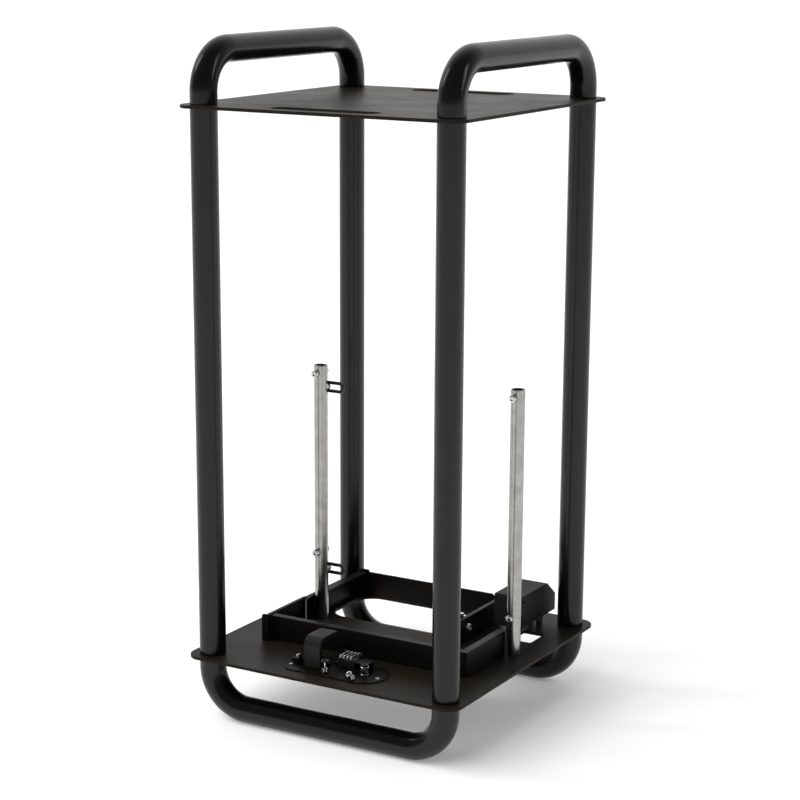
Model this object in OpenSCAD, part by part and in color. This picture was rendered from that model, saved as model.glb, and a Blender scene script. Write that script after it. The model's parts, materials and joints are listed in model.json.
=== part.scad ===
// Tall tubular carrying frame with two plates, an equipment cradle, two stainless posts
// and a latch-and-contact unit on the base plate. Millimetres, +Z up, standing on z = 0,
// centred in plan. The front of the frame faces -Y.

/* [Frame] */
// Distance between the left and right uprights, centre to centre
frame_w = 340; // [300:1:420]
// Distance between the front and rear uprights, centre to centre
frame_d = 340; // [340:1:420]
// Overall height, from the floor to the top of the handles
frame_h = 858; // [700:1:1050]
// Outside diameter of the frame tube
tube_d = 33.7; // [28:0.1:38]
// Wall thickness of the frame tube
tube_wall = 2.6; // [1.5:0.1:4]
// Bend radius of the frame tube, at its centre line
bend_r = 50.5; // [44:0.5:60]

/* [Plates] */
// Thickness of the base plate and the top plate
plate_t = 4; // [3:0.5:6]
// How far the plates reach past the centres of the uprights
plate_reach = 26.5; // [22:0.5:40]
// Corner radius of the plates
plate_corner_r = 21; // [8:1:22]
// Straight tube between a bend and the plate next to it
leg_l = 13; // [12:0.5:30]
// Length of the two strap slots in the top plate
slot_l = 147; // [60:1:200]
// Width of the strap slots
slot_w = 30; // [8:0.5:32]
// How far the middles of the strap slots lie inside the line of the uprights
slot_in = 4; // [0:0.5:12]

/* [Joints of the frame] */
// Diameter of the joining studs
stud_d = 10; // [8:1:12]
// Length of the plugs in the tube ends
plug_l = 11; // [8:0.5:12]

/* [Cradle] */
// Outside width of the cradle
cradle_w = 298; // [260:1:330]
// Cradle centre to the right of the frame's centre
cradle_x = 5; // [0:1:10]
// Height of the cradle walls
wall_h = 32.4; // [24:0.1:40]
// Sheet thickness of the cradle walls
wall_t = 3; // [2:0.5:4]
// Front face of the front wall, in front of the frame's centre
front_wall_y = 87.6; // [70:0.1:100]
// Front face of the rear rail, behind the frame's centre
rail_y = 140.7; // [120:0.1:142]
// Depth of the top flange on the front wall and the right wall
top_flange = 10; // [6:0.5:14]
// Depth of the top flange on the left guide
guide_flange = 12.4; // [8:0.1:16]
// Width of the end flange of the left guide
end_flange = 15.5; // [10:0.5:18]
// Width of the end flange of the left wall
wall_end_flange = 10.5; // [8:0.5:14]
// How much taller the end flanges are than the walls
end_rise = 3; // [0:0.5:6]
// Right side of the arm bracket, right of the frame's centre
arm_x = 87; // [70:0.5:95]
// Diameter of the holes in the arm bracket
arm_hole_d = 6.6; // [5:0.1:8]
// Distance between the holes in the arm bracket
arm_pitch = 33.5; // [25:0.5:36]

/* [Base plate openings] */
// Corner radius of the large window
window_r = 28; // [5:1:40]
// Front edge of the large window, behind the frame's centre
window_y = 40; // [36:1:60]
// Size of the cable opening across
cable_w = 29.5; // [15:0.5:40]
// Size of the cable opening front to back
cable_d = 40; // [15:1:44]

/* [Posts] */
// Outside diameter of the posts
post_d = 18; // [14:0.5:21.5]
// Wall thickness of the posts
post_wall = 1.5; // [1:0.1:2.5]
// Height of the post tops above the base plate
post_h = 345.4; // [260:0.1:420]
// Middle of the two posts, right of the frame's centre
post_x = 16.8; // [14:0.1:20]
// Distance between the two posts
post_gap = 289; // [284:1:300]
// Clearance between the left guide and the left post
post_clear = 1; // [0.3:0.1:3]
// Post centres behind the frame's centre
post_y = 23; // [20:0.5:26]
// Diameter of the through bolts and of the post foot screws
bolt_d = 5; // [4:0.5:6]

/* [Slotted tabs] */
// Height of a tab
tab_h = 15; // [13:0.5:20]
// Thickness of a tab
tab_t = 3; // [2:0.5:4]
// Width of the slot in a tab
tab_slot_w = 7; // [6:0.5:8]
// Distance that a tab can slide
tab_travel = 20; // [10:1:24]

/* [Electronics box] */
// Width of the box
box_w = 40; // [34:1:42]
// Depth of the box
box_d = 99; // [80:1:104]
// Height of the box
box_h = 42.5; // [30:0.5:55]
// Sheet thickness of the box
box_t = 2; // [1:0.5:3]
// Height of the standoffs under the box
standoff_h = 15; // [8:0.1:20]

/* [Latch hook] */
// Width of the hook
hook_w = 24; // [16:0.5:26]
// Thickness of the hook's strap
hook_t = 6; // [4:0.5:7]
// Height of the hook above its pivot
hook_h = 30; // [26:0.5:40]
// Reach of the hook behind its front face
hook_reach = 50; // [40:0.5:56]
// Diameter of the hook's pin
hook_pin_d = 4; // [3:0.5:5]

/* [Contacts] */
// Number of spring contacts
contact_n = 4; // [4:1:4]
// Distance between the contacts
contact_pitch = 5.08; // [4.5:0.01:6]
// Width of a contact
contact_w = 2.2; // [2:0.1:3.5]
// Length of a contact from its pivot to its tip
contact_l = 20; // [16:0.5:22]

/* [Hidden] */
$fn = 64;
eps = 0.5;                                   // how far a cutting tool runs past a face
fit = 0.05;                                  // radial clearance of a running fit
gap = 0.3;                                   // clearance between pieces that slide apart

// frame
base_z = tube_d / 2 + bend_r + leg_l;        // underside of the base plate
deck_z = base_z + plate_t;                   // upper face of the base plate
shelf_z = frame_h - base_z;                  // upper face of the top plate
plate_w = frame_w + 2 * plate_reach;
plate_d = frame_d + 2 * plate_reach;
bore_d = tube_d - 2 * tube_wall;
corners = [for (x = [-1, 1], y = [-1, 1]) [x * frame_w / 2, y * frame_d / 2]];

// cradle
left_x = cradle_x - cradle_w / 2;            // outside of the left wall
right_x = cradle_x + cradle_w / 2;           // outside of the right wall
wall_top = deck_z + wall_h;
post_left_x = post_x - post_gap / 2;
post_right_x = post_x + post_gap / 2;
guide_x = post_left_x - post_d / 2 - post_clear - wall_t;   // outside of the left guide
split_y = 3;                                 // rear end of the left wall
block_y = -front_wall_y - 9.4;               // front of the left wall's end flange
right_wall_end = post_y - post_d / 2 - gap;  // rear end of the right wall
arm_front = 15;                              // front end of the side arm
arm_hole_y = 37;                             // first hole of the arm bracket
arm_hole_z = deck_z + wall_h * 0.57;
arm_inner = arm_x - 2 * wall_t;              // inner face of the side arm
foot_flange = 18;                            // width of the flanges on the base plate
rail_left = guide_x + end_flange;
rail_right = arm_inner - 5.5;
rail_cut = 8;                                // cut corner of the rear rail
window_left = guide_x + wall_t + 8;
window_right = arm_inner - foot_flange - 4;

// box
box_x = arm_x + 18;                          // left side of the box
box_y = 76;                                  // front of the box
box_z = deck_z + standoff_h;
box_cut_y = 24;                              // sloped rear corner, front to back
box_cut_z = 19.5;                            // sloped rear corner, height
standoff_d = 9;
standoff_at = [[16, 14], [box_w - 9, box_d - 28], [10, box_d - 14]];
cable_x = box_x + 26;                        // left side of the cable opening
cable_y = box_y - 3;                         // front side of the cable opening
board_t = 1.6;
board_lift = 6;

// posts
post_bore = post_d - 2 * post_wall;
post_top = deck_z + post_h;
post_front = post_y - post_d / 2;
post_back = post_y + post_d / 2;
foot_l = 14;                                 // length of the plugs in the post feet
left_bolts = [93.1, 335.4];                  // bolt heights on the left post above the deck
right_bolts = [50.5, 335.8];                 // bolt heights on the right post above the deck
nut_t = 4;
nut_flats = 8;
bolt_head_d = 9;
bolt_head_t = 4;
bolt_front = nut_t;                          // from the post to the back of the bolt head
tab_levels = [66.7, 314.7];                  // tab heights above the deck: lower, upper
bush_flange_t = 2;
bush_flange_d = 11;
bush_d = tab_slot_w - 2 * gap;
tab_y = post_back + bush_flange_t + gap;     // front face of the tabs
tab_back = tab_y + tab_t;
tab_screw_d = 4;

// latch-and-contact unit
unit_x = 4;                                  // middle of the dock plate
unit_y = -155;
dock_t = 1.5;
dock_left = unit_x - 68;                     // left end of the dock plate
dock_right = unit_x + 67.5;                  // right end of the dock plate
dock_front = unit_y - 21;
dock_back = unit_y + 42;
dock_left_r = 16;                            // rounded corners of the dock plate's left end
dock_right_r = 31;                           // rounded corners of its right end
dock_z = deck_z + dock_t;                    // upper face of the dock plate
bracket_t = 2;
hook_eye_r = hook_t - 0.5;
hook_x = unit_x - 45.5;                      // left side of the hook
hook_y = unit_y - 1;                         // front face of the hook
pivot_y = hook_y + hook_eye_r;
pivot_z = dock_z + bracket_t + hook_eye_r + 0.7;
cheek_t = 3;
cheek_r = 5;
spring_wire = 1.2;
spring_turns = 4;
left_cheek_x = hook_x - 0.5 - spring_turns * spring_wire - cheek_t - 0.2;
right_cheek_x = hook_x + hook_w + 0.5;
bracket_x = left_cheek_x - 13.5;             // left end of the bracket's foot
bracket_d = 24;
hook_bend_r = 14;                            // outside radius of the hook's front bend
hook_top = pivot_z + hook_h;
dock_screw_d = 3;
dock_screw_at = [[dock_left + 7, unit_y - 5], [dock_right - 8, unit_y + 4]];
bracket_screw_d = 4;
bracket_screw_at = [bracket_x + 7.5, hook_y + 13];
bracket_pad_h = 6;                           // height of the bracket's pad under its screw
hook_foot_r = 1;                             // rounding of the hook's front bottom corner
hook_swing_r = hook_eye_r * sqrt(2);         // how far that corner is from the pivot

// contacts
row_x = unit_x + 5.2;                        // middle of the row of contacts
tip_y = unit_y + 16;                         // front of the contacts
rod_y = tip_y + contact_l;
rod_d = 2;
rod_z = dock_z + 14.3;
leaf_t = 0.9;
lip_h = 7;
eye_r = 2;
row_w = (contact_n - 1) * contact_pitch + contact_w;
block_x = row_x - row_w / 2 - 3.6;
block_w = row_w + 7.2;
block_front = tip_y + 1.9;
block_back = rod_y + 3.2;
block_top = rod_z - 3.1;
ear_t = 2.4;
shelf_l = 21;                                // contact shelf, to the right of the block
shelf_y = tip_y - 2;
shelf_d = 16;

// small hardware of the unit
domed_nuts_at = [[unit_x + 27, unit_y - 10], [unit_x + 36, unit_y - 16]];
domed_nut_r = [5.5, 3];                      // half the width across corners of each domed nut
domed_nut_ball = [4.6, 2.5];                 // radius of each dome
standoff_at_dock = [unit_x + 39, unit_y + 7];
guide_at = [unit_x - 7.4, unit_y - 10.8];
guide_disc_z = 14.8;                         // underside of the disc above the dock plate
guide_disc_t = 2.5;

// ---------- helpers ----------

// Rounded rectangle in the XY plane, centred
module rounded_plan(l, w, r) {
    union() {
        square([l - 2 * r, w], center = true);
        square([l, w - 2 * r], center = true);
        for (x = [-1, 1], y = [-1, 1])
            translate([x * (l / 2 - r), y * (w / 2 - r)])
                circle(r);
    }
}

// Slot shape in the XY plane, centred, with round ends
module slot_plan(l, w) {
    square([l - w, w], center = true);
    for (x = [-1, 1])
        translate([x * (l - w) / 2, 0])
            circle(d = w);
}

// Round bar along +X, +Y or +Z from the origin
module bar_x(d, l) {
    rotate([0, 90, 0])
        cylinder(d = d, h = l);
}
module bar_y(d, l) {
    rotate([-90, 0, 0])
        cylinder(d = d, h = l);
}

// Box from its lowest corner to its highest corner
module block(a, b) {
    translate(a)
        cube(b - a);
}

// U-shaped solid bar: a straight bar along X at z = 0 with two legs bent up
module u_bar(span, d, leg_top) {
    run = span / 2 - bend_r;
    translate([-run, 0, 0])
        bar_x(d, 2 * run);
    for (s = [0, 1])
        mirror([s, 0, 0]) {
            translate([run, 0, bend_r])
                rotate([90, 0, 0])
                    rotate([0, 0, -90])
                        rotate_extrude(angle = 90)
                            translate([bend_r, 0])
                                circle(d = d);
            translate([span / 2, 0, bend_r])
                cylinder(d = d, h = leg_top - bend_r);
        }
}

// Bent tube with open leg ends, its bar at z = 0
module u_tube(span) {
    leg_top = bend_r + leg_l;
    difference() {
        u_bar(span, tube_d, leg_top);
        u_bar(span, bore_d, leg_top + eps);
    }
}

// Button-head screw: head above z = 0 with a hexagon socket, shank below
module button_screw(d, l, head_d, head_h) {
    ball_r = (head_d * head_d / 4 + head_h * head_h) / (2 * head_h);
    difference() {
        intersection() {
            translate([0, 0, head_h - ball_r])
                sphere(r = ball_r);
            cylinder(d = head_d, h = head_h);
        }
        translate([0, 0, head_h * 0.4])
            cylinder(d = head_d * 0.42, h = head_h, $fn = 6);
    }
    translate([0, 0, -l])
        cylinder(d = d, h = l);
}

// Hexagon nut around the Y axis, with a bore
module nut_y(flats, bore, t) {
    rotate([-90, 0, 0])
        difference() {
            cylinder(d = flats / cos(30), h = t, $fn = 6);
            translate([0, 0, -eps])
                cylinder(d = bore, h = t + 2 * eps);
        }
}

// ---------- frame ----------

module skid(y) {
    color([0.13, 0.13, 0.14])
        translate([0, y, tube_d / 2])
            u_tube(frame_w);
}
module skid_front() {
    skid(-frame_d / 2);
}
module skid_rear() {
    skid(frame_d / 2);
}

module upright(at) {
    color([0.13, 0.13, 0.14])
        translate([at.x, at.y, deck_z])
            difference() {
                cylinder(d = tube_d, h = shelf_z - plate_t - deck_z);
                translate([0, 0, -eps])
                    cylinder(d = bore_d, h = shelf_z - plate_t - deck_z + 2 * eps);
            }
}
module upright_front_left() {
    upright(corners[0]);
}
module upright_rear_left() {
    upright(corners[1]);
}
module upright_front_right() {
    upright(corners[2]);
}
module upright_rear_right() {
    upright(corners[3]);
}

module handle(x) {
    color([0.13, 0.13, 0.14])
        translate([x, 0, frame_h - tube_d / 2])
            mirror([0, 0, 1])
                rotate([0, 0, 90])
                    u_tube(frame_d);
}
module handle_left() {
    handle(-frame_w / 2);
}
module handle_right() {
    handle(frame_w / 2);
}

// Threaded holes for the dock screws and the bracket screw
module unit_screw_holes() {
    for (p = dock_screw_at)
        translate(p)
            circle(d = dock_screw_d);
    translate(bracket_screw_at)
        circle(d = bracket_screw_d);
}

// Holes in both plates for the joining studs
module stud_holes() {
    for (c = corners)
        translate(c)
            circle(d = stud_d + 0.5);
}

module base_plate() {
    color([0.16, 0.15, 0.14])
        translate([0, 0, base_z])
            linear_extrude(plate_t)
                difference() {
                    rounded_plan(plate_w, plate_d, plate_corner_r);
                    stud_holes();
                    unit_screw_holes();
                    translate([(window_left + window_right) / 2, (window_y + rail_y) / 2])
                        rounded_plan(window_right - window_left, rail_y - window_y, window_r);
                    translate([cable_x, cable_y])
                        square([cable_w, cable_d]);
                    for (x = [post_left_x, post_right_x])
                        translate([x, post_y])
                            circle(d = bolt_d + 0.5);
                }
}

module top_plate() {
    color([0.16, 0.15, 0.14])
        translate([0, 0, shelf_z - plate_t])
            linear_extrude(plate_t)
                difference() {
                    rounded_plan(plate_w, plate_d, plate_corner_r);
                    stud_holes();
                    for (s = [-1, 1])
                        translate([0, s * (frame_d / 2 - slot_in)])
                            slot_plan(slot_l, slot_w);
                }
}

// One turned plug with a threaded bore, upwards from the origin
module joint_plug() {
    difference() {
        cylinder(d = bore_d, h = plug_l);
        translate([0, 0, -eps])
            cylinder(d = stud_d, h = plug_l + 2 * eps);
    }
}
// Plugs in the tube ends above and below a plate
module plug_set(plate_bottom) {
    for (c = corners) {
        translate([c.x, c.y, plate_bottom + plate_t])
            joint_plug();
        translate([c.x, c.y, plate_bottom - plug_l])
            joint_plug();
    }
}
module base_joint_plugs() {
    color([0.5, 0.5, 0.5])
        plug_set(base_z);
}
module top_joint_plugs() {
    color([0.5, 0.5, 0.5])
        plug_set(shelf_z - plate_t);
}
module joining_studs() {
    stud_l = plate_t + 2 * (plug_l - 1);
    color([0.6, 0.6, 0.62])
        for (c = corners, z = [base_z, shelf_z - plate_t])
            translate([c.x, c.y, z + plate_t / 2 - stud_l / 2])
                cylinder(d = stud_d, h = stud_l);
}

// ---------- cradle ----------

// Upright strip with rounded top corners, w wide along +X from the origin, facing -Y
module end_strip(w) {
    h = wall_h + end_rise;
    r = 3;
    translate([0, wall_t, 0])
        rotate([90, 0, 0])
            linear_extrude(wall_t)
                union() {
                    square([w, h - r]);
                    translate([r, 0])
                        square([w - 2 * r, h]);
                    for (x = [r, w - r])
                        translate([x, h - r])
                            circle(r);
                }
}

module front_wall() {
    x0 = left_x + wall_end_flange - 1.2;
    color([0.12, 0.12, 0.12]) {
        block([x0, -front_wall_y, deck_z], [right_x - wall_t, -front_wall_y + wall_t, wall_top]);
        block([x0, -front_wall_y + wall_t, wall_top - wall_t],
              [right_x - wall_t, -front_wall_y + top_flange, wall_top]);
    }
}

module right_wall() {
    color([0.12, 0.12, 0.12]) {
        block([right_x - wall_t, -front_wall_y, deck_z], [right_x, right_wall_end, wall_top]);
        block([right_x - top_flange - 1, -front_wall_y + top_flange, wall_top - wall_t],
              [right_x - wall_t, right_wall_end, wall_top]);
    }
}

module left_wall() {
    color([0.12, 0.12, 0.12]) {
        block([left_x, block_y + wall_t, deck_z], [left_x + wall_t, split_y, wall_top]);
        block([left_x + wall_t, block_y + wall_t, wall_top - wall_t],
              [left_x + wall_t + 2.3, split_y, wall_top]);
        translate([left_x, block_y, deck_z])
            end_strip(wall_end_flange);
    }
}

// Web of the left guide, with its front top corner sloped
module guide_web() {
    slope_l = 25;
    slope_h = 4;
    y0 = split_y + 2.5;
    translate([guide_x, 0, 0])
        rotate([90, 0, 90])
            linear_extrude(wall_t)
                polygon([[y0, deck_z], [rail_y, deck_z], [rail_y, wall_top],
                         [y0 + slope_l, wall_top], [y0, wall_top - slope_h]]);
}
module left_guide() {
    color([0.12, 0.12, 0.12]) {
        guide_web();
        block([guide_x + wall_t, post_back + 5, wall_top - wall_t],
              [guide_x + guide_flange, rail_y, wall_top]);
        translate([guide_x, rail_y, deck_z])
            end_strip(end_flange);
    }
}

module rear_rail() {
    color([0.1, 0.12, 0.12]) {
        translate([0, rail_y + wall_t, 0])
            rotate([90, 0, 0])
                linear_extrude(wall_t)
                    polygon([[rail_left, deck_z], [rail_right, deck_z],
                             [rail_right, wall_top - rail_cut],
                             [rail_right - rail_cut, wall_top], [rail_left, wall_top]]);
        block([rail_left, rail_y + wall_t, deck_z],
              [rail_right, rail_y + foot_flange, deck_z + wall_t]);
    }
}

module side_arm() {
    color([0.12, 0.12, 0.12])
        difference() {
            union() {
                block([arm_inner, arm_front, deck_z],
                      [arm_inner + wall_t, rail_y - 1, wall_top]);
                block([arm_inner - foot_flange, arm_front, deck_z],
                      [arm_inner, rail_y - 1, deck_z + wall_t]);
            }
            arm_holes();
        }
}

// Row of holes through the side arm and its bracket
module arm_holes() {
    for (i = [0:2])
        translate([arm_inner - eps, arm_hole_y + i * arm_pitch, arm_hole_z])
            bar_x(arm_hole_d, 2 * wall_t + 2 * eps);
}

module arm_bracket() {
    color([0.13, 0.13, 0.13])
        difference() {
            block([arm_x - wall_t, arm_front, deck_z], [arm_x, rail_y - 8, wall_top]);
            arm_holes();
        }
}

// Stainless stud behind the side arm; the arm screw threads into it
module arm_stud() {
    r = 4;
    color([0.75, 0.75, 0.76])
        difference() {
            translate([arm_inner - r, arm_hole_y, deck_z + wall_t])
                cylinder(r = r, h = wall_h + 1.2);
            translate([arm_inner - 2 * r - eps, arm_hole_y, arm_hole_z])
                bar_x(arm_hole_d - 0.6, 2 * r + 2 * eps);
        }
}

module arm_screw() {
    color([0.78, 0.78, 0.8])
        translate([arm_x, arm_hole_y, arm_hole_z])
            rotate([0, 90, 0])
                button_screw(arm_hole_d - 0.6, 2 * wall_t + 7, 12, 4.5);
}

// ---------- electronics box ----------

// Side outline of the box in (Y, Z) from its front bottom corner, drawn in by t
module box_side(t) {
    polygon([[t, 0], [box_d - t, 0], [box_d - t, box_h - box_cut_z - t / 2],
             [box_d - box_cut_y - t / 2, box_h - t], [t, box_h - t]]);
}
module box_prism(x0, x1, t) {
    translate([x0, box_y, box_z])
        rotate([90, 0, 90])
            linear_extrude(x1 - x0)
                box_side(t);
}

module box_cover() {
    color([0.12, 0.12, 0.12])
        difference() {
            box_prism(box_x, box_x + box_w, 0);
            translate([0, 0, -eps])
                box_prism(box_x + box_t, box_x + box_w - box_t, box_t);
            translate([0, 0, -eps])
                block([box_x + box_t, box_y + box_t, box_z],
                      [box_x + box_w - box_t, box_y + box_d - box_t, box_z + 2 * eps]);
            for (z = [9, box_h - 8])
                translate([box_x + box_w - box_t - eps, box_y + 5.5, box_z + z])
                    bar_x(4.5, box_t + 2 * eps);
        }
}

module box_base() {
    color([0.14, 0.14, 0.14])
        difference() {
            block([box_x + box_t, box_y + box_t, box_z],
                  [box_x + box_w - box_t, box_y + box_d - box_t, box_z + box_t]);
            for (p = standoff_at)
                translate([box_x + p.x, box_y + p.y, box_z - eps])
                    cylinder(d = 3.5, h = box_t + 2 * eps);
        }
}

module box_standoffs() {
    color([0.75, 0.75, 0.77])
        for (p = standoff_at)
            translate([box_x + p.x, box_y + p.y, deck_z])
                difference() {
                    cylinder(d = standoff_d, h = standoff_h);
                    translate([0, 0, standoff_h - 8])
                        cylinder(d = 3, h = 8 + eps);
                }
}

module box_screws() {
    color([0.7, 0.7, 0.72])
        for (p = standoff_at)
            translate([box_x + p.x, box_y + p.y, box_z + box_t])
                button_screw(3, box_t + 6, 6, 1.8);
}

module contact_board() {
    inset = 3;
    z = box_z + box_t + board_lift;
    color([0.1, 0.3, 0.18]) {
        block([box_x + box_t + inset, box_y + box_t + inset, z],
              [box_x + box_w - box_t - inset, box_y + box_d - box_cut_y, z + board_t]);
        for (p = [[10, 22], [box_w - 10, 22], [10, box_d - 40], [box_w - 10, box_d - 40]])
            translate([box_x + p.x, box_y + p.y, box_z + box_t])
                cylinder(d = 5, h = board_lift);
    }
}

// ---------- posts ----------

module post(x, bolts) {
    color([0.72, 0.72, 0.72])
        difference() {
            translate([x, post_y, deck_z])
                cylinder(d = post_d, h = post_h);
            translate([x, post_y, deck_z - eps])
                cylinder(d = post_bore, h = post_h + 2 * eps);
            for (z = bolts)
                translate([x, post_front - eps, deck_z + z])
                    bar_y(bolt_d, post_d + 2 * eps);
        }
}
module post_left() {
    difference() {
        post(post_left_x, left_bolts);
        for (z = tab_levels)
            translate([post_left_x, post_y, deck_z + z])
                bar_y(tab_screw_d, post_d);
    }
}
module post_right() {
    post(post_right_x, right_bolts);
}

module post_feet() {
    color([0.55, 0.55, 0.55])
        for (x = [post_left_x, post_right_x])
            translate([x, post_y, deck_z])
                difference() {
                    cylinder(d = post_bore, h = foot_l);
                    translate([0, 0, -eps])
                        cylinder(d = bolt_d, h = foot_l + 2 * eps);
                }
}

module post_foot_screws() {
    color([0.6, 0.6, 0.62])
        for (x = [post_left_x, post_right_x])
            translate([x, post_y, base_z])
                mirror([0, 0, 1])
                    button_screw(bolt_d, plate_t + foot_l - 2, 2 * bolt_d, 3);
}

// Centres of the through bolts, as [x, z]
bolt_points = concat([for (z = left_bolts) [post_left_x, deck_z + z]],
                     [for (z = right_bolts) [post_right_x, deck_z + z]]);

module post_bolts() {
    shank_l = bolt_front + post_d + nut_t + 3;
    color([0.75, 0.75, 0.77])
        for (p = bolt_points)
            translate([p.x, post_front - bolt_front, p.y]) {
                bar_y(bolt_d, shank_l);
                translate([0, -bolt_head_t, 0])
                    difference() {
                        bar_y(bolt_head_d, bolt_head_t);
                        translate([0, -eps, 0])
                            rotate([-90, 0, 0])
                                cylinder(d = 4.6, h = 2.5 + eps, $fn = 6);
                    }
            }
}

module post_nuts() {
    color([0.7, 0.7, 0.72])
        for (p = bolt_points) {
            translate([p.x, post_front - nut_t, p.y])
                nut_y(nut_flats, bolt_d, nut_t);
            translate([p.x, post_back, p.y])
                nut_y(nut_flats, bolt_d, nut_t);
        }
}

// Slotted tab behind the left post; its slot centre line runs to the right of the post
module tab(level) {
    run = tab_travel + 0.6;
    color([0.08, 0.08, 0.08])
        translate([post_left_x + run / 2, tab_back, deck_z + level])
            rotate([90, 0, 0])
                linear_extrude(tab_t)
                    difference() {
                        slot_plan(run + tab_h, tab_h);
                        slot_plan(run + tab_slot_w, tab_slot_w);
                    }
}
module lower_tab() {
    tab(tab_levels[0]);
}
module upper_tab() {
    tab(tab_levels[1]);
}

// Flanged bushes between the post and the tabs, with a collar in each slot
module tab_bushes() {
    color([0.75, 0.75, 0.77])
        for (z = tab_levels)
            translate([post_left_x, post_back, deck_z + z])
                difference() {
                    union() {
                        bar_y(bush_flange_d, bush_flange_t);
                        bar_y(bush_d, bush_flange_t + tab_t + 2 * gap);
                    }
                    translate([0, -eps, 0])
                        bar_y(tab_screw_d, bush_flange_t + tab_t + 2);
                }
}

module tab_screws() {
    color([0.75, 0.75, 0.77])
        for (z = tab_levels)
            translate([post_left_x, tab_back + gap, deck_z + z])
                rotate([-90, 0, 0])
                    button_screw(tab_screw_d, tab_t + bush_flange_t + 2 * gap + post_wall + 2,
                                 bush_flange_d, 3);
}

// ---------- latch-and-contact unit ----------

// Plan of the dock plate, with rounded corners that are larger at the right end
module dock_plan() {
    left_in = dock_left + dock_left_r;
    right_in = dock_right - dock_right_r;
    depth = dock_back - dock_front;
    union() {
        for (y = [dock_front + dock_left_r, dock_back - dock_left_r])
            translate([left_in, y])
                circle(dock_left_r);
        for (y = [dock_front + dock_right_r, dock_back - dock_right_r])
            translate([right_in, y])
                circle(dock_right_r);
        translate([left_in, dock_front])
            square([right_in - left_in, depth]);
        translate([dock_left, dock_front + dock_left_r])
            square([dock_left_r, depth - 2 * dock_left_r]);
        translate([right_in, dock_front + dock_right_r])
            square([dock_right_r, depth - 2 * dock_right_r]);
    }
}
module dock_plate() {
    color([0.13, 0.13, 0.13])
        translate([0, 0, deck_z])
            linear_extrude(dock_t)
                difference() {
                    dock_plan();
                    unit_screw_holes();
                }
}

module dock_screws() {
    color([0.75, 0.75, 0.77])
        for (p = dock_screw_at)
            translate([p.x, p.y, dock_z])
                button_screw(dock_screw_d, dock_t + plate_t - 1, 6, 2);
}

// Bracket with a foot that is open in front, where the hook's bottom corner swings
module hook_bracket() {
    color([0.1, 0.1, 0.1])
        difference() {
            union() {
                block([bracket_x, hook_y, dock_z],
                      [left_cheek_x + cheek_t, hook_y + bracket_d, dock_z + bracket_t]);
                block([left_cheek_x, pivot_y + hook_swing_r, dock_z],
                      [right_cheek_x + cheek_t, hook_y + bracket_d, dock_z + bracket_t]);
                for (x = [left_cheek_x, right_cheek_x]) {
                    block([x, pivot_y - cheek_r, dock_z],
                          [x + cheek_t, pivot_y + 2 * cheek_r, pivot_z]);
                    translate([x, pivot_y, pivot_z])
                        bar_x(2 * cheek_r, cheek_t);
                }
                block([bracket_x + 1.5, hook_y + 3, dock_z],
                      [left_cheek_x, hook_y + bracket_d, dock_z + bracket_pad_h]);
            }
            translate([bracket_x - eps, pivot_y, pivot_z])
                bar_x(hook_pin_d, right_cheek_x + cheek_t - bracket_x + 2 * eps);
            translate([bracket_screw_at.x, bracket_screw_at.y, dock_z - eps])
                cylinder(d = bracket_screw_d, h = bracket_pad_h + 2 * eps);
        }
}

module bracket_screw() {
    color([0.78, 0.78, 0.8])
        translate([bracket_screw_at.x, bracket_screw_at.y, dock_z + bracket_pad_h])
            button_screw(bracket_screw_d, bracket_pad_h + dock_t + plate_t - 1, 9, 3.2);
}

// Side outline of the hook in (Y, Z): a squared foot round the eye, the strap up, the front bend,
// the strap back and a thicker tip that hangs down
module hook_side() {
    yf = hook_y;
    yb = hook_y + hook_bend_r;
    zb = hook_top - hook_bend_r;
    ye = hook_y + hook_reach;
    zf = pivot_z - hook_eye_r;
    under = hook_top - hook_t;
    union() {
        translate([pivot_y, pivot_z])
            circle(hook_eye_r);
        translate([yf + hook_foot_r, zf + hook_foot_r])
            circle(hook_foot_r);
        translate([yf + hook_foot_r, zf])
            square([hook_eye_r - hook_foot_r, hook_eye_r]);
        translate([yf, zf + hook_foot_r])
            square([hook_t, zb - zf - hook_foot_r]);
        intersection() {
            translate([yb, zb])
                difference() {
                    circle(hook_bend_r);
                    circle(hook_bend_r - hook_t);
                }
            translate([yf, zb])
                square([hook_bend_r, hook_bend_r]);
        }
        polygon([[yb, hook_top], [yb, under], [ye - 20, under], [ye - 14, under - 4.5],
                 [ye - 3, under - 5.5], [ye, under - 2.5], [ye - 1, hook_top - 3.5],
                 [ye - 9, hook_top - 0.8], [ye - 12, hook_top]]);
    }
}

module latch_hook() {
    notch_w = 7;
    color([0.15, 0.15, 0.16])
        difference() {
            translate([hook_x, 0, 0])
                rotate([90, 0, 90])
                    linear_extrude(hook_w)
                        hook_side();
            translate([hook_x - eps, pivot_y, pivot_z])
                bar_x(hook_pin_d + 2 * fit, hook_w + 2 * eps);
            block([hook_x + hook_w - notch_w, hook_y + hook_reach - 9, hook_top - 2 * hook_t - 1],
                  [hook_x + hook_w + eps, hook_y + hook_reach + 1, hook_top + eps]);
            translate([hook_x + hook_w * 0.62, hook_y + hook_reach - 25, hook_top - hook_t - eps])
                cylinder(d = 3, h = hook_t + 2 * eps);
        }
}

module hook_pin() {
    color([0.7, 0.7, 0.72])
        translate([left_cheek_x - 1, pivot_y, pivot_z])
            bar_x(hook_pin_d, right_cheek_x + cheek_t + 2 - left_cheek_x);
}

// Torsion spring on the hook pin, drawn as closed turns side by side
module hook_spring() {
    color([0.6, 0.6, 0.6])
        for (i = [0:spring_turns - 1])
            translate([left_cheek_x + cheek_t + 0.1 + (i + 0.5) * spring_wire, pivot_y, pivot_z])
                rotate([0, 90, 0])
                    rotate_extrude()
                        translate([hook_pin_d / 2 + 0.1 + spring_wire / 2, 0])
                            circle(d = spring_wire, $fn = 24);
}

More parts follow.
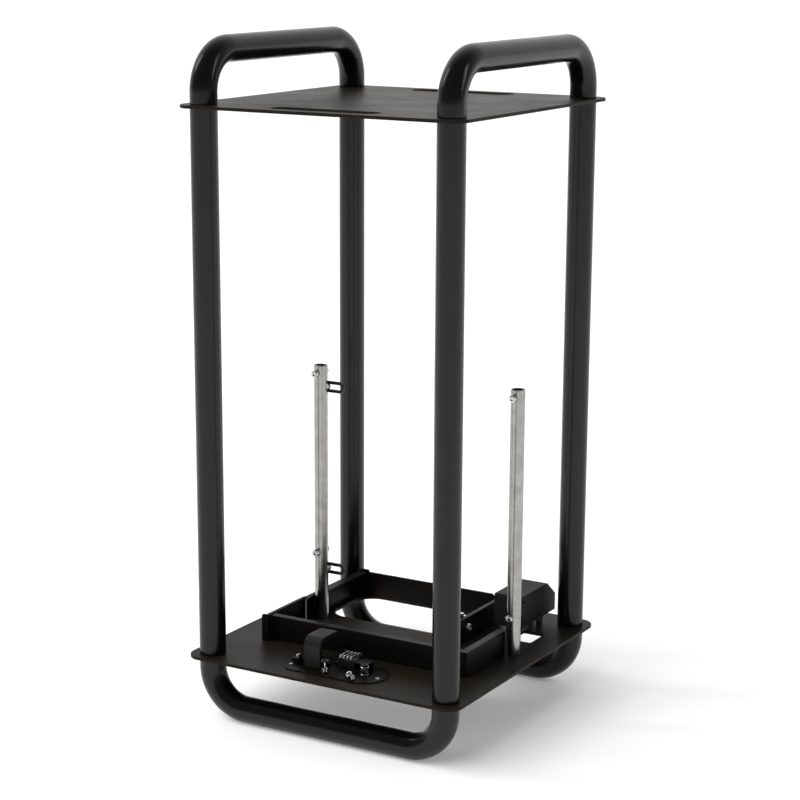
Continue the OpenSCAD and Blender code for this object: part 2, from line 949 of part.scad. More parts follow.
module contact_block() {
    color([0.07, 0.07, 0.07])
        difference() {
            union() {
                block([block_x, block_front, dock_z], [block_x + block_w, block_back, block_top]);
                for (x = [block_x, block_x + block_w - ear_t])
                    block([x, rod_y - 3, dock_z], [x + ear_t, block_back, rod_z + 2.2]);
                block([block_x - 6, block_front + 2, dock_z],
                      [block_x, block_back, dock_z + 5]);
            }
            translate([block_x - eps, rod_y, rod_z])
                bar_x(rod_d, block_w + 2 * eps);
        }
}

module contact_rod() {
    color([0.6, 0.6, 0.6])
        translate([block_x, rod_y, rod_z])
            bar_x(rod_d, block_w);
}

// Spring contact: an eye on the rod, a leaf to the front and a lip bent down
module contact(i) {
    x = row_x - row_w / 2 + i * contact_pitch;
    color([0.85, 0.82, 0.72])
        difference() {
            union() {
                translate([x, rod_y, rod_z])
                    bar_x(2 * eye_r, contact_w);
                block([x, tip_y, rod_z + eye_r - leaf_t],
                      [x + contact_w, rod_y, rod_z + eye_r]);
                block([x, tip_y, rod_z + eye_r - lip_h],
                      [x + contact_w, tip_y + leaf_t, rod_z + eye_r]);
            }
            translate([x - eps, rod_y, rod_z])
                bar_x(rod_d + 2 * fit, contact_w + 2 * eps);
        }
}
module contact_1() {
    contact(0);
}
module contact_2() {
    contact(1);
}
module contact_3() {
    contact(2);
}
module contact_4() {
    contact(3);
}

// Bent plate beside the block: a foot, a web and a level shelf
module contact_shelf() {
    x0 = block_x + block_w;
    z1 = dock_z + 11.5;
    color([0.13, 0.13, 0.13]) {
        block([x0, shelf_y, z1 - 1.5], [x0 + shelf_l, shelf_y + shelf_d, z1]);
        block([x0 + shelf_l - 1.5, shelf_y, dock_z], [x0 + shelf_l, shelf_y + shelf_d, z1 - 1.5]);
    }
}

module cap_nut() {
    hex_h = 4;
    color([0.8, 0.8, 0.82])
        for (i = [0:1])
            translate([domed_nuts_at[i].x, domed_nuts_at[i].y, dock_z]) {
                cylinder(r = domed_nut_r[i], h = hex_h, $fn = 6);
                intersection() {
                    translate([0, 0, hex_h])
                        sphere(r = domed_nut_ball[i]);
                    translate([0, 0, hex_h])
                        cylinder(r = domed_nut_r[i], h = domed_nut_r[i]);
                }
            }
}

module dock_standoff() {
    color([0.78, 0.78, 0.8])
        translate([standoff_at_dock.x, standoff_at_dock.y, dock_z])
            difference() {
                cylinder(d = 11, h = 12);
                translate([0, 0, 4])
                    cylinder(d = 4, h = 8 + eps);
            }
}
module standoff_screw() {
    color([0.1, 0.1, 0.1])
        translate([standoff_at_dock.x, standoff_at_dock.y, dock_z + 12])
            button_screw(4, 8, 9, 3);
}

module guide_stud() {
    neck_z = 7;
    color([0.78, 0.78, 0.8])
        translate([guide_at.x, guide_at.y, dock_z]) {
            cylinder(d = 9, h = 5, $fn = 6);
            translate([0, 0, 5])
                cylinder(d1 = 8, d2 = 6, h = neck_z - 5);
            translate([0, 0, neck_z])
                cylinder(d = 4, h = guide_disc_z + guide_disc_t - neck_z);
        }
}
module guide_disc() {
    color([0.08, 0.08, 0.08])
        translate([guide_at.x, guide_at.y, dock_z + guide_disc_z])
            difference() {
                cylinder(d = 11, h = guide_disc_t);
                translate([0, 0, -eps])
                    cylinder(d = 4, h = guide_disc_t + 2 * eps);
            }
}

skid_front();
skid_rear();
upright_front_left();
upright_front_right();
upright_rear_left();
upright_rear_right();
handle_left();
handle_right();
base_plate();
top_plate();
base_joint_plugs();
top_joint_plugs();
joining_studs();
front_wall();
right_wall();
left_wall();
left_guide();
rear_rail();
side_arm();
arm_bracket();
arm_screw();
arm_stud();
box_cover();
box_base();
box_standoffs();
box_screws();
contact_board();
post_left();
post_right();
post_feet();
post_foot_screws();
post_bolts();
post_nuts();
upper_tab();
lower_tab();
tab_bushes();
tab_screws();
dock_plate();
dock_screws();
hook_bracket();
bracket_screw();
latch_hook();
hook_pin();
hook_spring();
contact_block();
contact_rod();
contact_1();
contact_2();
contact_3();
contact_4();
contact_shelf();
cap_nut();
dock_standoff();
standoff_screw();
guide_stud();
guide_disc();
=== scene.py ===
"""Looks of a tubular equipment carrying frame with a docking cradle, two posts and a latch unit.

Lengths are in millimetres until a surface is put into its mesh, which is in metres. +Z is up and -Y is the
front. A shape is a function of two parameters on a grid, or a profile carried along a line, as whole arrays.
"""

import json
import logging
import math
from dataclasses import dataclass, field
from enum import Enum
from typing import Iterable, Optional, Sequence

import bpy
import numpy as np
from mathutils import Matrix, Vector, geometry


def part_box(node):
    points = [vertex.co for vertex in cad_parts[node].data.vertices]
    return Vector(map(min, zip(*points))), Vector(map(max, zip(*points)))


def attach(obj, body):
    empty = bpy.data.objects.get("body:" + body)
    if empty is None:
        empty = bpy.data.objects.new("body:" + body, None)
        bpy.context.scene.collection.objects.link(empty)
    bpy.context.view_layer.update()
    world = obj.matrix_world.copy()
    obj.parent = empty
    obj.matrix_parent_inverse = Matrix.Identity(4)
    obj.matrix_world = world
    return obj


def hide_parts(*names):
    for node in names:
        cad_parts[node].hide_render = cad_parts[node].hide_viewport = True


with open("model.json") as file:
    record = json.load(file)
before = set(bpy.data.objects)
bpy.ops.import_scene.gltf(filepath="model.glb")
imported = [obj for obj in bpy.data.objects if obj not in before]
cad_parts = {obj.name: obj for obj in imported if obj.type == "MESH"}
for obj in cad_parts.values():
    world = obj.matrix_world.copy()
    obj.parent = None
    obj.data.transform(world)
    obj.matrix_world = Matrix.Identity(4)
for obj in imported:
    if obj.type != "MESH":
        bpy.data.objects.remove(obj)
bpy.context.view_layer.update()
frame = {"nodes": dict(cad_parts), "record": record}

MM = 0.001
NOISE_REACH = (0.3, 0.7)     # the stretch that most of a noise's values lie in
TINY = 1e-12                 # keeps a division off zero
Colour = tuple[float, float, float]
Stretch = tuple[float, float, float]
log = logging.getLogger("carrying_frame")


class Plane(Enum):
    """The plane that an outline is drawn in; the third direction is the one it is carried along."""

    PLAN = (0, 1, 2)   # outline in X and Y, carried up
    SIDE = (1, 2, 0)   # outline in Y and Z, carried to the right
    FACE = (0, 2, 1)   # outline in X and Z, carried to the back


class Way(Enum):
    """The direction that a turned piece's own axis points in, as the rows of a turn."""

    UP = ((1, 0, 0), (0, 1, 0), (0, 0, 1))
    RIGHT = ((0, 0, 1), (1, 0, 0), (0, 1, 0))
    BACK = ((0, 1, 0), (0, 0, 1), (1, 0, 0))
    FRONT = ((1, 0, 0), (0, 0, -1), (0, 1, 0))


class Shading(Enum):
    """How a piece's normals are worked out."""

    WEIGHTED = "weighted"   # large faces stay flat, and rounded edges blend into them
    ANGLE = "angle"         # an edge sharper than a limit stays crisp


# ---------- surfaces ----------

@dataclass
class Form:
    """A closed surface as plain arrays.

    Args:
        points: one row of x, y and z for each point.
        quads: one row of four point numbers for each four-sided face.
        tris: one row of three point numbers for each triangle.
    """

    points: np.ndarray
    quads: np.ndarray = field(default_factory=lambda: np.zeros((0, 4), int))
    tris: np.ndarray = field(default_factory=lambda: np.zeros((0, 3), int))

    def triangles(self) -> np.ndarray:
        """Every face as triangles; a four-sided face is cut from its first to its third corner."""
        return np.vstack([self.quads[:, [0, 1, 2]], self.quads[:, [0, 2, 3]], self.tris]).astype(int)

    def outward(self) -> "Form":
        """The same surface with its faces pointing out.

        The enclosed volume is the sum over the triangles of a . (b x c) / 6, and it is negative where the
        faces point in, so every face is then turned round.
        """
        a, b, c = (self.points[self.triangles()[:, k]] for k in range(3))
        if np.einsum("ij,ij->", a, np.cross(b, c)) < 0:
            self.quads, self.tris = self.quads[:, ::-1], self.tris[:, ::-1]
        return self

    def placed(self, way: Way, at: Sequence[float]) -> "Form":
        """The surface turned so that its own +Z points the given way, and then moved to a point."""
        turn = np.array(way.value, float)
        return Form(self.points @ turn.T + np.asarray(at, float), self.quads, self.tris)

    def normals(self) -> np.ndarray:
        """One unit normal for each point: the sum of its faces' normals, each weighted by the face's area."""
        tris = self.triangles()
        a, b, c = (self.points[tris[:, k]] for k in range(3))
        spread = np.cross(b - a, c - a)
        total = np.zeros_like(self.points)
        for k in range(3):
            np.add.at(total, tris[:, k], spread)
        return total / np.maximum(np.linalg.norm(total, axis=1, keepdims=True), TINY)


def joined(forms: Iterable[Form]) -> Form:
    """Several surfaces as one, each with its point numbers moved past those before it."""
    forms = list(forms)
    starts = np.cumsum([0] + [len(f.points) for f in forms[:-1]])
    return Form(np.vstack([f.points for f in forms]),
                np.vstack([f.quads + s for f, s in zip(forms, starts)]).astype(int),
                np.vstack([f.tris + s for f, s in zip(forms, starts)]).astype(int))


def grid(points: np.ndarray, round_rows: bool, poles: Optional[np.ndarray] = None) -> Form:
    """A surface through a grid of points whose columns run round a closed ring.

    Face (i, j) joins points (i, j), (i, j + 1), (i + 1, j + 1) and (i + 1, j), and the last column joins the
    first. Where the rows don't also close on themselves, a fan of triangles joins each end ring to its pole.

    Args:
        points: rows by columns by 3.
        round_rows: whether the last row joins the first one.
        poles: the two end points, needed where the rows don't close.

    Returns:
        The closed surface, facing out.
    """
    rows, cols = points.shape[:2]
    number = np.arange(rows * cols).reshape(rows, cols)
    side = np.roll(number, -1, axis=1)
    ahead, ahead_side = np.roll(number, -1, axis=0), np.roll(side, -1, axis=0)
    keep = slice(None) if round_rows else slice(0, rows - 1)
    quads = np.stack([number[keep], side[keep], ahead_side[keep], ahead[keep]], -1).reshape(-1, 4)
    flat = points.reshape(-1, 3)
    tris = np.zeros((0, 3), int)
    if poles is not None:
        first, last = np.full(cols, len(flat)), np.full(cols, len(flat) + 1)
        tris = np.vstack([np.stack([first, side[0], number[0]], -1),
                          np.stack([last, number[-1], side[-1]], -1)])
        flat = np.vstack([flat, poles])
    return Form(flat, quads, tris).outward()


def swept(line: np.ndarray, side: np.ndarray, radii: np.ndarray, sides: int, bore: float = 0.0) -> Form:
    """A round bar or tube carried along a line.

    A point is line(s) + radius(s) (cos t n(s) + sin t b(s)), where n is the side direction and b is square to
    n and to the line. A tube goes out along the line at its outer radius and back at its bore's radius.

    Args:
        line: points of the centre line.
        side: one unit direction square to the line for each point, or one for all.
        radii: the outer radius at each point.
        sides: how many points go round.
        bore: the bore's radius, or 0 for a solid bar.

    Returns:
        The closed surface.
    """
    tangent = np.gradient(line, axis=0)
    tangent /= np.linalg.norm(tangent, axis=1, keepdims=True)
    n = np.broadcast_to(side, line.shape)
    b = np.cross(tangent, n)
    t = np.arange(sides) / sides * math.tau
    ring = n[:, None] * np.cos(t)[None, :, None] + b[:, None] * np.sin(t)[None, :, None]
    outer = line[:, None] + np.asarray(radii)[:, None, None] * ring
    if bore:
        inner = line[:, None] + bore * ring
        return grid(np.concatenate([outer, inner[::-1]]), True)
    return grid(outer, False, line[[0, -1]])


def turned(rows: Sequence[Sequence[float]], sides: int = 48, open_bore: bool = False) -> Form:
    """A piece turned about its own Z axis from a profile, round or with six flats.

    At angle t the radius is r (1 + h (1 / cos(u) - 1)), where h is 0 for round and 1 for a hexagon of inner
    radius r, and u is t folded into the 60 degrees about the nearest flat's middle.

    Args:
        rows: height, radius and h for each ring; a radius of 0 at either end closes it in a point.
        sides: how many points go round, a multiple of 12.
        open_bore: whether the last ring joins the first, as on a nut.

    Returns:
        The closed surface.
    """
    table = np.asarray(rows, float)
    rings = table[table[:, 1] > 0]
    t = np.arange(sides) / sides * math.tau
    fold = (t + math.pi / 6) % (math.pi / 3) - math.pi / 6
    radius = rings[:, 1, None] * (1 + rings[:, 2, None] * (1 / np.cos(fold) - 1))
    height = np.broadcast_to(rings[:, 0, None], radius.shape)
    points = np.stack([radius * np.cos(t), radius * np.sin(t), height], -1)
    if open_bore:
        return grid(points, True)
    return grid(points, False, np.array([[0, 0, table[0, 0]], [0, 0, table[-1, 0]]]))


def rounded(corners: Sequence[Sequence[float]], radius: float | Sequence[float], closed: bool = True,
            steps: int = 7) -> np.ndarray:
    """A line through corners, with an arc in place of each corner.

    With unit directions a and b from a corner to its neighbours and the angle p between them, the arc starts
    r / tan(p / 2) along a and its centre is r / sin(p / 2) along a + b. Its points turn from the first to the
    last by a spherical blend of the two radius vectors.

    Args:
        corners: the corners in order.
        radius: one radius, or one for each corner.
        closed: whether the last corner joins the first.
        steps: points on each arc.

    Returns:
        The points of the line.
    """
    p = np.asarray(corners, float)
    r = np.broadcast_to(np.asarray(radius, float), (len(p),))
    mid = slice(None) if closed else slice(1, -1)
    corner, r = p[mid], r[mid]
    before, after = np.roll(p, 1, axis=0)[mid] - corner, np.roll(p, -1, axis=0)[mid] - corner
    a = before / np.linalg.norm(before, axis=1, keepdims=True)
    b = after / np.linalg.norm(after, axis=1, keepdims=True)
    half = np.arccos(np.clip((a * b).sum(1), -0.999999, 0.999999))[:, None] / 2
    middle = (a + b) / np.linalg.norm(a + b, axis=1, keepdims=True)
    centre = corner + middle * r[:, None] / np.sin(half)
    v0 = corner + a * r[:, None] / np.tan(half) - centre
    v1 = corner + b * r[:, None] / np.tan(half) - centre
    turn = (math.pi - 2 * half)[:, :, None]
    s = np.linspace(0, 1, steps)[None, :, None]
    arc = (np.sin((1 - s) * turn) * v0[:, None] + np.sin(s * turn) * v1[:, None]) / np.sin(turn)
    points = (centre[:, None] + arc).reshape(-1, p.shape[1])
    return points if closed else np.vstack([p[:1], points, p[-1:]])


def rectangle(x0: float, x1: float, y0: float, y1: float) -> list[tuple[float, float]]:
    """The four corners of a rectangle, anticlockwise from its lowest."""
    return [(x0, y0), (x1, y0), (x1, y1), (x0, y1)]


def oblong(x0: float, x1: float, y0: float, y1: float, radius: float, steps: int = 9) -> np.ndarray:
    """An outline with four straight sides and four arcs, anticlockwise."""
    return rounded(rectangle(x0, x1, y0, y1), radius, steps=steps)


def ring_outline(x: float, y: float, radius: float, sides: int = 40) -> np.ndarray:
    """A circle as an outline: the centre plus the radius times (cos t, sin t)."""
    t = np.arange(sides) / sides * math.tau
    return np.stack([x + radius * np.cos(t), y + radius * np.sin(t)], -1)


def edge_normals(loop: np.ndarray, closed: bool = True) -> np.ndarray:
    """How far each point moves for an offset of 1 to the right of the line: (n1 + n2) / (1 + n1 . n2)."""
    ahead = np.roll(loop, -1, axis=0) - loop
    if not closed:
        ahead[-1] = ahead[-2]
    n2 = np.stack([ahead[:, 1], -ahead[:, 0]], -1)
    n2 /= np.maximum(np.linalg.norm(n2, axis=1, keepdims=True), TINY)
    n1 = np.roll(n2, 1, axis=0)
    if not closed:
        n1[0] = n2[0]
    return (n1 + n2) / np.maximum(1 + (n1 * n2).sum(1, keepdims=True), 0.2)


def strip(line: np.ndarray, thickness: float) -> np.ndarray:
    """The outline of bent sheet: its middle line moved half its thickness each way and joined at the ends."""
    shift = edge_normals(line, closed=False) * thickness / 2
    return np.vstack([line + shift, (line - shift)[::-1]])


def area(loop: np.ndarray) -> float:
    """The signed area of a loop, positive where it runs anticlockwise: half the sum of x1 y2 - x2 y1."""
    nxt = np.roll(loop, -1, axis=0)
    return float((loop[:, 0] * nxt[:, 1] - nxt[:, 0] * loop[:, 1]).sum() / 2)


def cap_triangles(loops: list[np.ndarray]) -> np.ndarray:
    """Triangles that fill the outline between its outer loop and its holes.

    A constrained Delaunay net joins the points, and a triangle is kept where a ray from its middle crosses
    the loops an odd number of times.
    """
    points = np.vstack(loops)
    first = np.repeat(np.cumsum([0] + [len(a) for a in loops[:-1]]), [len(a) for a in loops])
    size = np.repeat([len(a) for a in loops], [len(a) for a in loops])
    here = np.arange(len(points))
    nxt = first + (here - first + 1) % size
    out = geometry.delaunay_2d_cdt([Vector(q) for q in points.tolist()], np.stack([here, nxt], -1).tolist(),
                                   [], 0, 1e-7)
    back = np.array([o[0] if o else -1 for o in out[3]], int)
    tris = back[np.array(out[2], int)]
    tris = tris[(tris >= 0).all(1)]
    middle = points[tris].mean(1)
    a, b = points[here], points[nxt]
    rise = np.where(a[:, 1] == b[:, 1], TINY, b[:, 1] - a[:, 1])
    spans = (a[None, :, 1] > middle[:, None, 1]) != (b[None, :, 1] > middle[:, None, 1])
    cross_x = a[:, 0] + (middle[:, None, 1] - a[:, 1]) * (b[:, 0] - a[:, 0]) / rise
    return tris[(spans & (cross_x > middle[:, None, 0])).sum(1) % 2 == 1]


def prism(outline: np.ndarray, low: float, high: float, plane: Plane, holes: Sequence[np.ndarray] = (),
          edge: float = 0.35, segments: int = 3) -> Form:
    """An outline carried straight from low to high, with rounded edges all round.

    At angle a of the rounding, from 0 at the flat face to 90 degrees at the side, the loops are moved into
    the material by e (1 - sin a) and lie e (1 - cos a) from the face.

    Args:
        outline: the outer loop.
        low: where the piece starts along the third direction.
        high: where it ends.
        plane: the plane of the outline.
        holes: loops of the openings.
        edge: radius of the rounded edges.
        segments: faces across a rounded edge.

    Returns:
        The closed surface.
    """
    loops = [outline if area(outline) > 0 else outline[::-1]]
    loops += [h if area(h) < 0 else h[::-1] for h in holes]
    flat = np.vstack(loops)
    normal = np.vstack([edge_normals(a) for a in loops])
    a = np.linspace(0, math.pi / 2, segments + 1)
    inset = edge * (1 - np.sin(a))
    lift = edge * (1 - np.cos(a))
    inset, height = np.concatenate([inset, inset[::-1]]), np.concatenate([low + lift, (high - lift)[::-1]])
    planar = flat[None] - inset[:, None, None] * normal[None]
    solid = np.concatenate([planar, np.broadcast_to(height[:, None, None], planar.shape[:2] + (1,))], -1)
    count, sizes = len(flat), [len(b) for b in loops]
    first = np.repeat(np.cumsum([0] + sizes[:-1]), sizes)
    here = np.arange(count)
    nxt = first + (here - first + 1) % np.repeat(sizes, sizes)
    level = (np.arange(len(inset) - 1) * count)[:, None]
    above = level + count
    quads = np.stack([level + here, level + nxt, above + nxt, above + here], -1).reshape(-1, 4)
    splits = np.cumsum(sizes)[:-1]
    tris = cap_triangles(np.split(planar[0], splits))
    tris = np.vstack([tris[:, ::-1], tris + (len(inset) - 1) * count])
    points = np.empty((len(inset) * count, 3))
    points[:, list(plane.value)] = solid.reshape(-1, 3)
    return Form(points, quads, tris).outward()


# ---------- finishes ----------

class Graph:
    """A material's node tree, with short ways to add nodes and join them."""

    def __init__(self, name: str) -> None:
        """Starts an empty material with a Principled shader and Object coordinates."""
        self.material = bpy.data.materials.new(name)
        self.material.use_nodes = True
        self.tree = self.material.node_tree
        self.tree.nodes.clear()
        self.shader = self.add("ShaderNodeBsdfPrincipled")
        output = self.add("ShaderNodeOutputMaterial")
        self.join(self.shader.outputs["BSDF"], output.inputs["Surface"])
        self.place = self.add("ShaderNodeTexCoord").outputs["Object"]

    def add(self, kind: str, **settings: object) -> bpy.types.Node:
        """A new node, with its attributes set by name."""
        node = self.tree.nodes.new(kind)
        for key, value in settings.items():
            setattr(node, key, value)
        return node

    def join(self, source: bpy.types.NodeSocket, target: bpy.types.NodeSocket) -> None:
        """A link from an output to an input."""
        self.tree.links.new(source, target)

    def noise(self, size_mm: float, detail: float = 2.0,
              stretch: Stretch = (1, 1, 1)) -> bpy.types.NodeSocket:
        """Noise whose features are about size_mm across, drawn out where stretch is over 1.

        Args:
            size_mm: the size of a feature.
            detail: octaves of finer noise.
            stretch: how much longer a feature is along x, y and z.

        Returns:
            The noise's value socket.
        """
        mapping = self.add("ShaderNodeMapping")
        mapping.inputs["Scale"].default_value = [1 / s for s in stretch]
        self.join(self.place, mapping.inputs["Vector"])
        noise = self.add("ShaderNodeTexNoise")
        noise.inputs["Scale"].default_value = 1 / (size_mm * MM)
        noise.inputs["Detail"].default_value = detail
        self.join(mapping.outputs["Vector"], noise.inputs["Vector"])
        return noise.outputs["Fac"]

    def spread(self, value: bpy.types.NodeSocket, low: float, high: float) -> bpy.types.NodeSocket:
        """A noise mapped from its usual reach to the stretch from low to high, and held past its ends."""
        node = self.add("ShaderNodeMapRange")
        for key, number in zip(("From Min", "From Max", "To Min", "To Max"), (*NOISE_REACH, low, high)):
            node.inputs[key].default_value = number
        self.join(value, node.inputs["Value"])
        return node.outputs["Result"]

    def blend(self, value: bpy.types.NodeSocket, one: Colour, other: Colour) -> bpy.types.NodeSocket:
        """A colour between two, by a value from 0 to 1."""
        node = self.add("ShaderNodeMix", data_type="RGBA")
        colours = [s for s in node.inputs if s.type == "RGBA"]
        colours[0].default_value, colours[1].default_value = (*one, 1), (*other, 1)
        self.join(value, node.inputs["Factor"])
        return next(s for s in node.outputs if s.type == "RGBA")

    def relief(self, layers: Sequence[tuple[bpy.types.NodeSocket, float]]) -> None:
        """Bump layers one after another, each a height socket and its depth in millimetres."""
        before: Optional[bpy.types.NodeSocket] = None
        for height, depth_mm in layers:
            bump = self.add("ShaderNodeBump")
            bump.inputs["Distance"].default_value = depth_mm * MM
            self.join(height, bump.inputs["Height"])
            if before is not None:
                self.join(before, bump.inputs["Normal"])
            before = bump.outputs["Normal"]
        if before is not None:
            self.join(before, self.shader.inputs["Normal"])


@dataclass(frozen=True)
class PowderCoat:
    """Baked powder coat: a fine grain, a slow orange peel under it, and a slow change of gloss."""

    slot: str
    colour: Colour
    light: Colour
    roughness: tuple[float, float]
    grain_mm: float
    grain_depth: float
    peel_mm: float
    peel_depth: float
    specular: float = 0.5
    tint: Colour = (1, 1, 1)

    def material(self) -> bpy.types.Material:
        """The finish as a node material."""
        g = Graph(self.slot)
        grain = g.noise(self.grain_mm, 3)
        peel = g.noise(self.peel_mm, 1)
        slow = g.noise(60, 3)
        g.join(g.blend(g.spread(grain, 0, 1), self.colour, self.light), g.shader.inputs["Base Color"])
        g.join(g.spread(slow, *self.roughness), g.shader.inputs["Roughness"])
        g.shader.inputs["Specular IOR Level"].default_value = self.specular
        g.shader.inputs["Specular Tint"].default_value = (*self.tint, 1)
        g.relief([(peel, self.peel_depth), (grain, self.grain_depth)])
        return g.material


@dataclass(frozen=True)
class DrawnMetal:
    """Bare metal with fine lines along one direction, from drawing, brushing or rolling."""

    slot: str
    colour: Colour
    dark: Colour
    roughness: tuple[float, float]
    line_mm: float
    stretch: Stretch
    depth: float

    def material(self) -> bpy.types.Material:
        """The finish as a node material."""
        g = Graph(self.slot)
        lines = g.noise(self.line_mm, 2, self.stretch)
        cloud = g.noise(14, 3)
        g.join(g.blend(g.spread(cloud, 0, 1), self.colour, self.dark), g.shader.inputs["Base Color"])
        g.join(g.spread(lines, *self.roughness), g.shader.inputs["Roughness"])
        g.shader.inputs["Metallic"].default_value = 1.0
        g.relief([(lines, self.depth)])
        return g.material


@dataclass(frozen=True)
class Moulding:
    """Moulded plastic or rubber with a fine eroded grain."""

    slot: str
    colour: Colour
    light: Colour
    roughness: tuple[float, float]
    grain_mm: float
    depth: float

    def material(self) -> bpy.types.Material:
        """The finish as a node material."""
        g = Graph(self.slot)
        grain = g.noise(self.grain_mm, 4)
        g.join(g.blend(g.spread(grain, 0, 1), self.colour, self.light), g.shader.inputs["Base Color"])
        g.join(g.spread(g.noise(9, 2), *self.roughness), g.shader.inputs["Roughness"])
        g.relief([(grain, self.depth)])
        return g.material


@dataclass(frozen=True)
class Laminate:
    """Circuit board laminate: a lacquered weave with a grid of tracks that show through it."""

    slot: str
    colour: Colour
    track: Colour

    def material(self) -> bpy.types.Material:
        """The finish as a node material."""
        g = Graph(self.slot)
        tracks = g.add("ShaderNodeTexBrick", offset=0.5, squash=1.0)
        for key, number in (("Scale", 1 / (6 * MM)), ("Mortar Size", 0.06), ("Mortar Smooth", 0.1)):
            tracks.inputs[key].default_value = number
        g.join(g.place, tracks.inputs["Vector"])
        g.join(g.blend(tracks.outputs["Fac"], self.colour, self.track), g.shader.inputs["Base Color"])
        g.join(g.spread(g.noise(0.5, 2), 0.28, 0.4), g.shader.inputs["Roughness"])
        g.relief([(tracks.outputs["Fac"], 0.03)])
        return g.material


WARM = (1, 0.9, 0.78)        # the tint of the sheen on the plates and the cradle

FINISHES = (
    PowderCoat("frame_tube", (0.0018, 0.002, 0.0024), (0.0034, 0.0036, 0.0041), (0.2, 0.27),
               0.5, 0.004, 5, 0.02, 0.36),
    PowderCoat("plate_black", (0.0095, 0.0078, 0.0052), (0.019, 0.016, 0.0115), (0.36, 0.44),
               0.45, 0.012, 4, 0.015, 0.07, WARM),
    PowderCoat("sheet_black", (0.0028, 0.0026, 0.0023), (0.006, 0.0054, 0.0047), (0.34, 0.42),
               0.4, 0.012, 4, 0.015, 0.09, WARM),
    PowderCoat("box_black", (0.012, 0.0115, 0.0102), (0.019, 0.018, 0.0165), (0.42, 0.5),
               0.4, 0.015, 3, 0.01, 0.08),
    PowderCoat("tab_black", (0.002, 0.002, 0.0021), (0.004, 0.004, 0.0042), (0.28, 0.36),
               0.3, 0.005, 3, 0.01, 0.35),
    PowderCoat("hook_black", (0.008, 0.0082, 0.0082), (0.014, 0.0145, 0.0145), (0.38, 0.48),
               0.5, 0.02, 3, 0.02, 0.22),
    PowderCoat("screw_black", (0.003, 0.003, 0.0032), (0.006, 0.006, 0.006), (0.25, 0.35),
               0.3, 0.004, 2, 0.005, 0.4),
    DrawnMetal("post_steel", (0.4, 0.395, 0.38), (0.3, 0.295, 0.28), (0.14, 0.3), 0.22, (1, 1, 300), 0.004),
    DrawnMetal("inner_steel", (0.36, 0.355, 0.35), (0.26, 0.255, 0.25), (0.25, 0.42),
               0.3, (1, 40, 40), 0.005),
    DrawnMetal("bright_hardware", (0.7, 0.7, 0.71), (0.55, 0.55, 0.56), (0.08, 0.18),
               0.4, (1, 30, 30), 0.002),
    DrawnMetal("contact_plate", (0.9, 0.88, 0.82), (0.8, 0.77, 0.7), (0.12, 0.24), 0.2, (1, 60, 1), 0.002),
    Moulding("block_plastic", (0.004, 0.004, 0.004), (0.009, 0.009, 0.009), (0.35, 0.45), 0.35, 0.01),
    Moulding("disc_rubber", (0.007, 0.007, 0.007), (0.014, 0.014, 0.014), (0.45, 0.6), 0.5, 0.015),
    Laminate("board_laminate", (0.02, 0.09, 0.045), (0.05, 0.16, 0.07)),
)


# ---------- workshop: puts surfaces into meshes ----------

class Workshop:
    """Holds the finishes and turns surfaces into pieces that ride on their bodies."""

    sharp_angle = math.radians(33)

    def __init__(self) -> None:
        """Makes each finish's material once, and reads every node's slot from the record."""
        self.materials = {f.slot: f.material() for f in FINISHES}
        self.slots = {s["node"]: s["material_slot"] for s in frame["record"]["subparts"]}
        bodies = frame["record"]["behaviour"]["bodies"]
        self.body_of = {node: body for body, nodes in bodies.items() for node in nodes}

    def box(self, node: str) -> tuple[np.ndarray, np.ndarray]:
        """The lowest and highest corner of a CAD node, in millimetres."""
        low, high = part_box(node)
        return np.array(low) / MM, np.array(high) / MM

    def piece(self, name: str, form: Form, node: str, shading: Shading = Shading.WEIGHTED) -> None:
        """Puts a surface into a mesh that stands for one CAD node.

        Args:
            name: the piece's name.
            form: the surface, in millimetres.
            node: the CAD node that it stands for.
            shading: how its normals are worked out.
        """
        mesh = bpy.data.meshes.new(name)
        loops = np.concatenate([form.quads.ravel(), form.tris.ravel()]).astype(np.int32)
        fours, threes = len(form.quads), len(form.tris)
        starts = np.concatenate([np.arange(fours) * 4, fours * 4 + np.arange(threes) * 3]).astype(np.int32)
        mesh.vertices.add(len(form.points))
        mesh.vertices.foreach_set("co", (form.points * MM).astype(np.float32).ravel())
        mesh.loops.add(len(loops))
        mesh.loops.foreach_set("vertex_index", loops)
        mesh.polygons.add(len(starts))
        mesh.polygons.foreach_set("loop_start", starts)
        mesh.update(calc_edges=True)
        mesh.shade_smooth()
        if shading is Shading.ANGLE:
            mesh.set_sharp_from_angle(angle=self.sharp_angle)
        else:
            mesh.normals_split_custom_set_from_vertices(form.normals().tolist())
        mesh.materials.append(self.materials[self.slots[node]])
        made = bpy.data.objects.new(name, mesh)
        bpy.context.scene.collection.objects.link(made)
        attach(made, self.body_of[node])
        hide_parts(node)
        log.info("%s: %d faces for %s", name, len(starts), node)

    def dress(self, nodes: Iterable[str]) -> None:
        """Gives CAD nodes that stay their finish in place of the plain one."""
        for node in nodes:
            mesh = frame["nodes"][node].data
            mesh.materials.clear()
            mesh.materials.append(self.materials[self.slots[node]])
            log.info("%s keeps its solid, with finish %s", node, self.slots[node])


def dome(radius: float, height: float, base: float, steps: int = 7, rim: float = 0.0) -> list[list[float]]:
    """Rows of a button head: z = base + height sin(a) and r = rim + (radius - rim) cos(a) for a from 0 up."""
    a = np.linspace(0, math.pi / 2, steps)
    rows = np.stack([base + height * np.sin(a), rim + (radius - rim) * np.cos(a), np.zeros(steps)], -1)
    return rows.tolist()


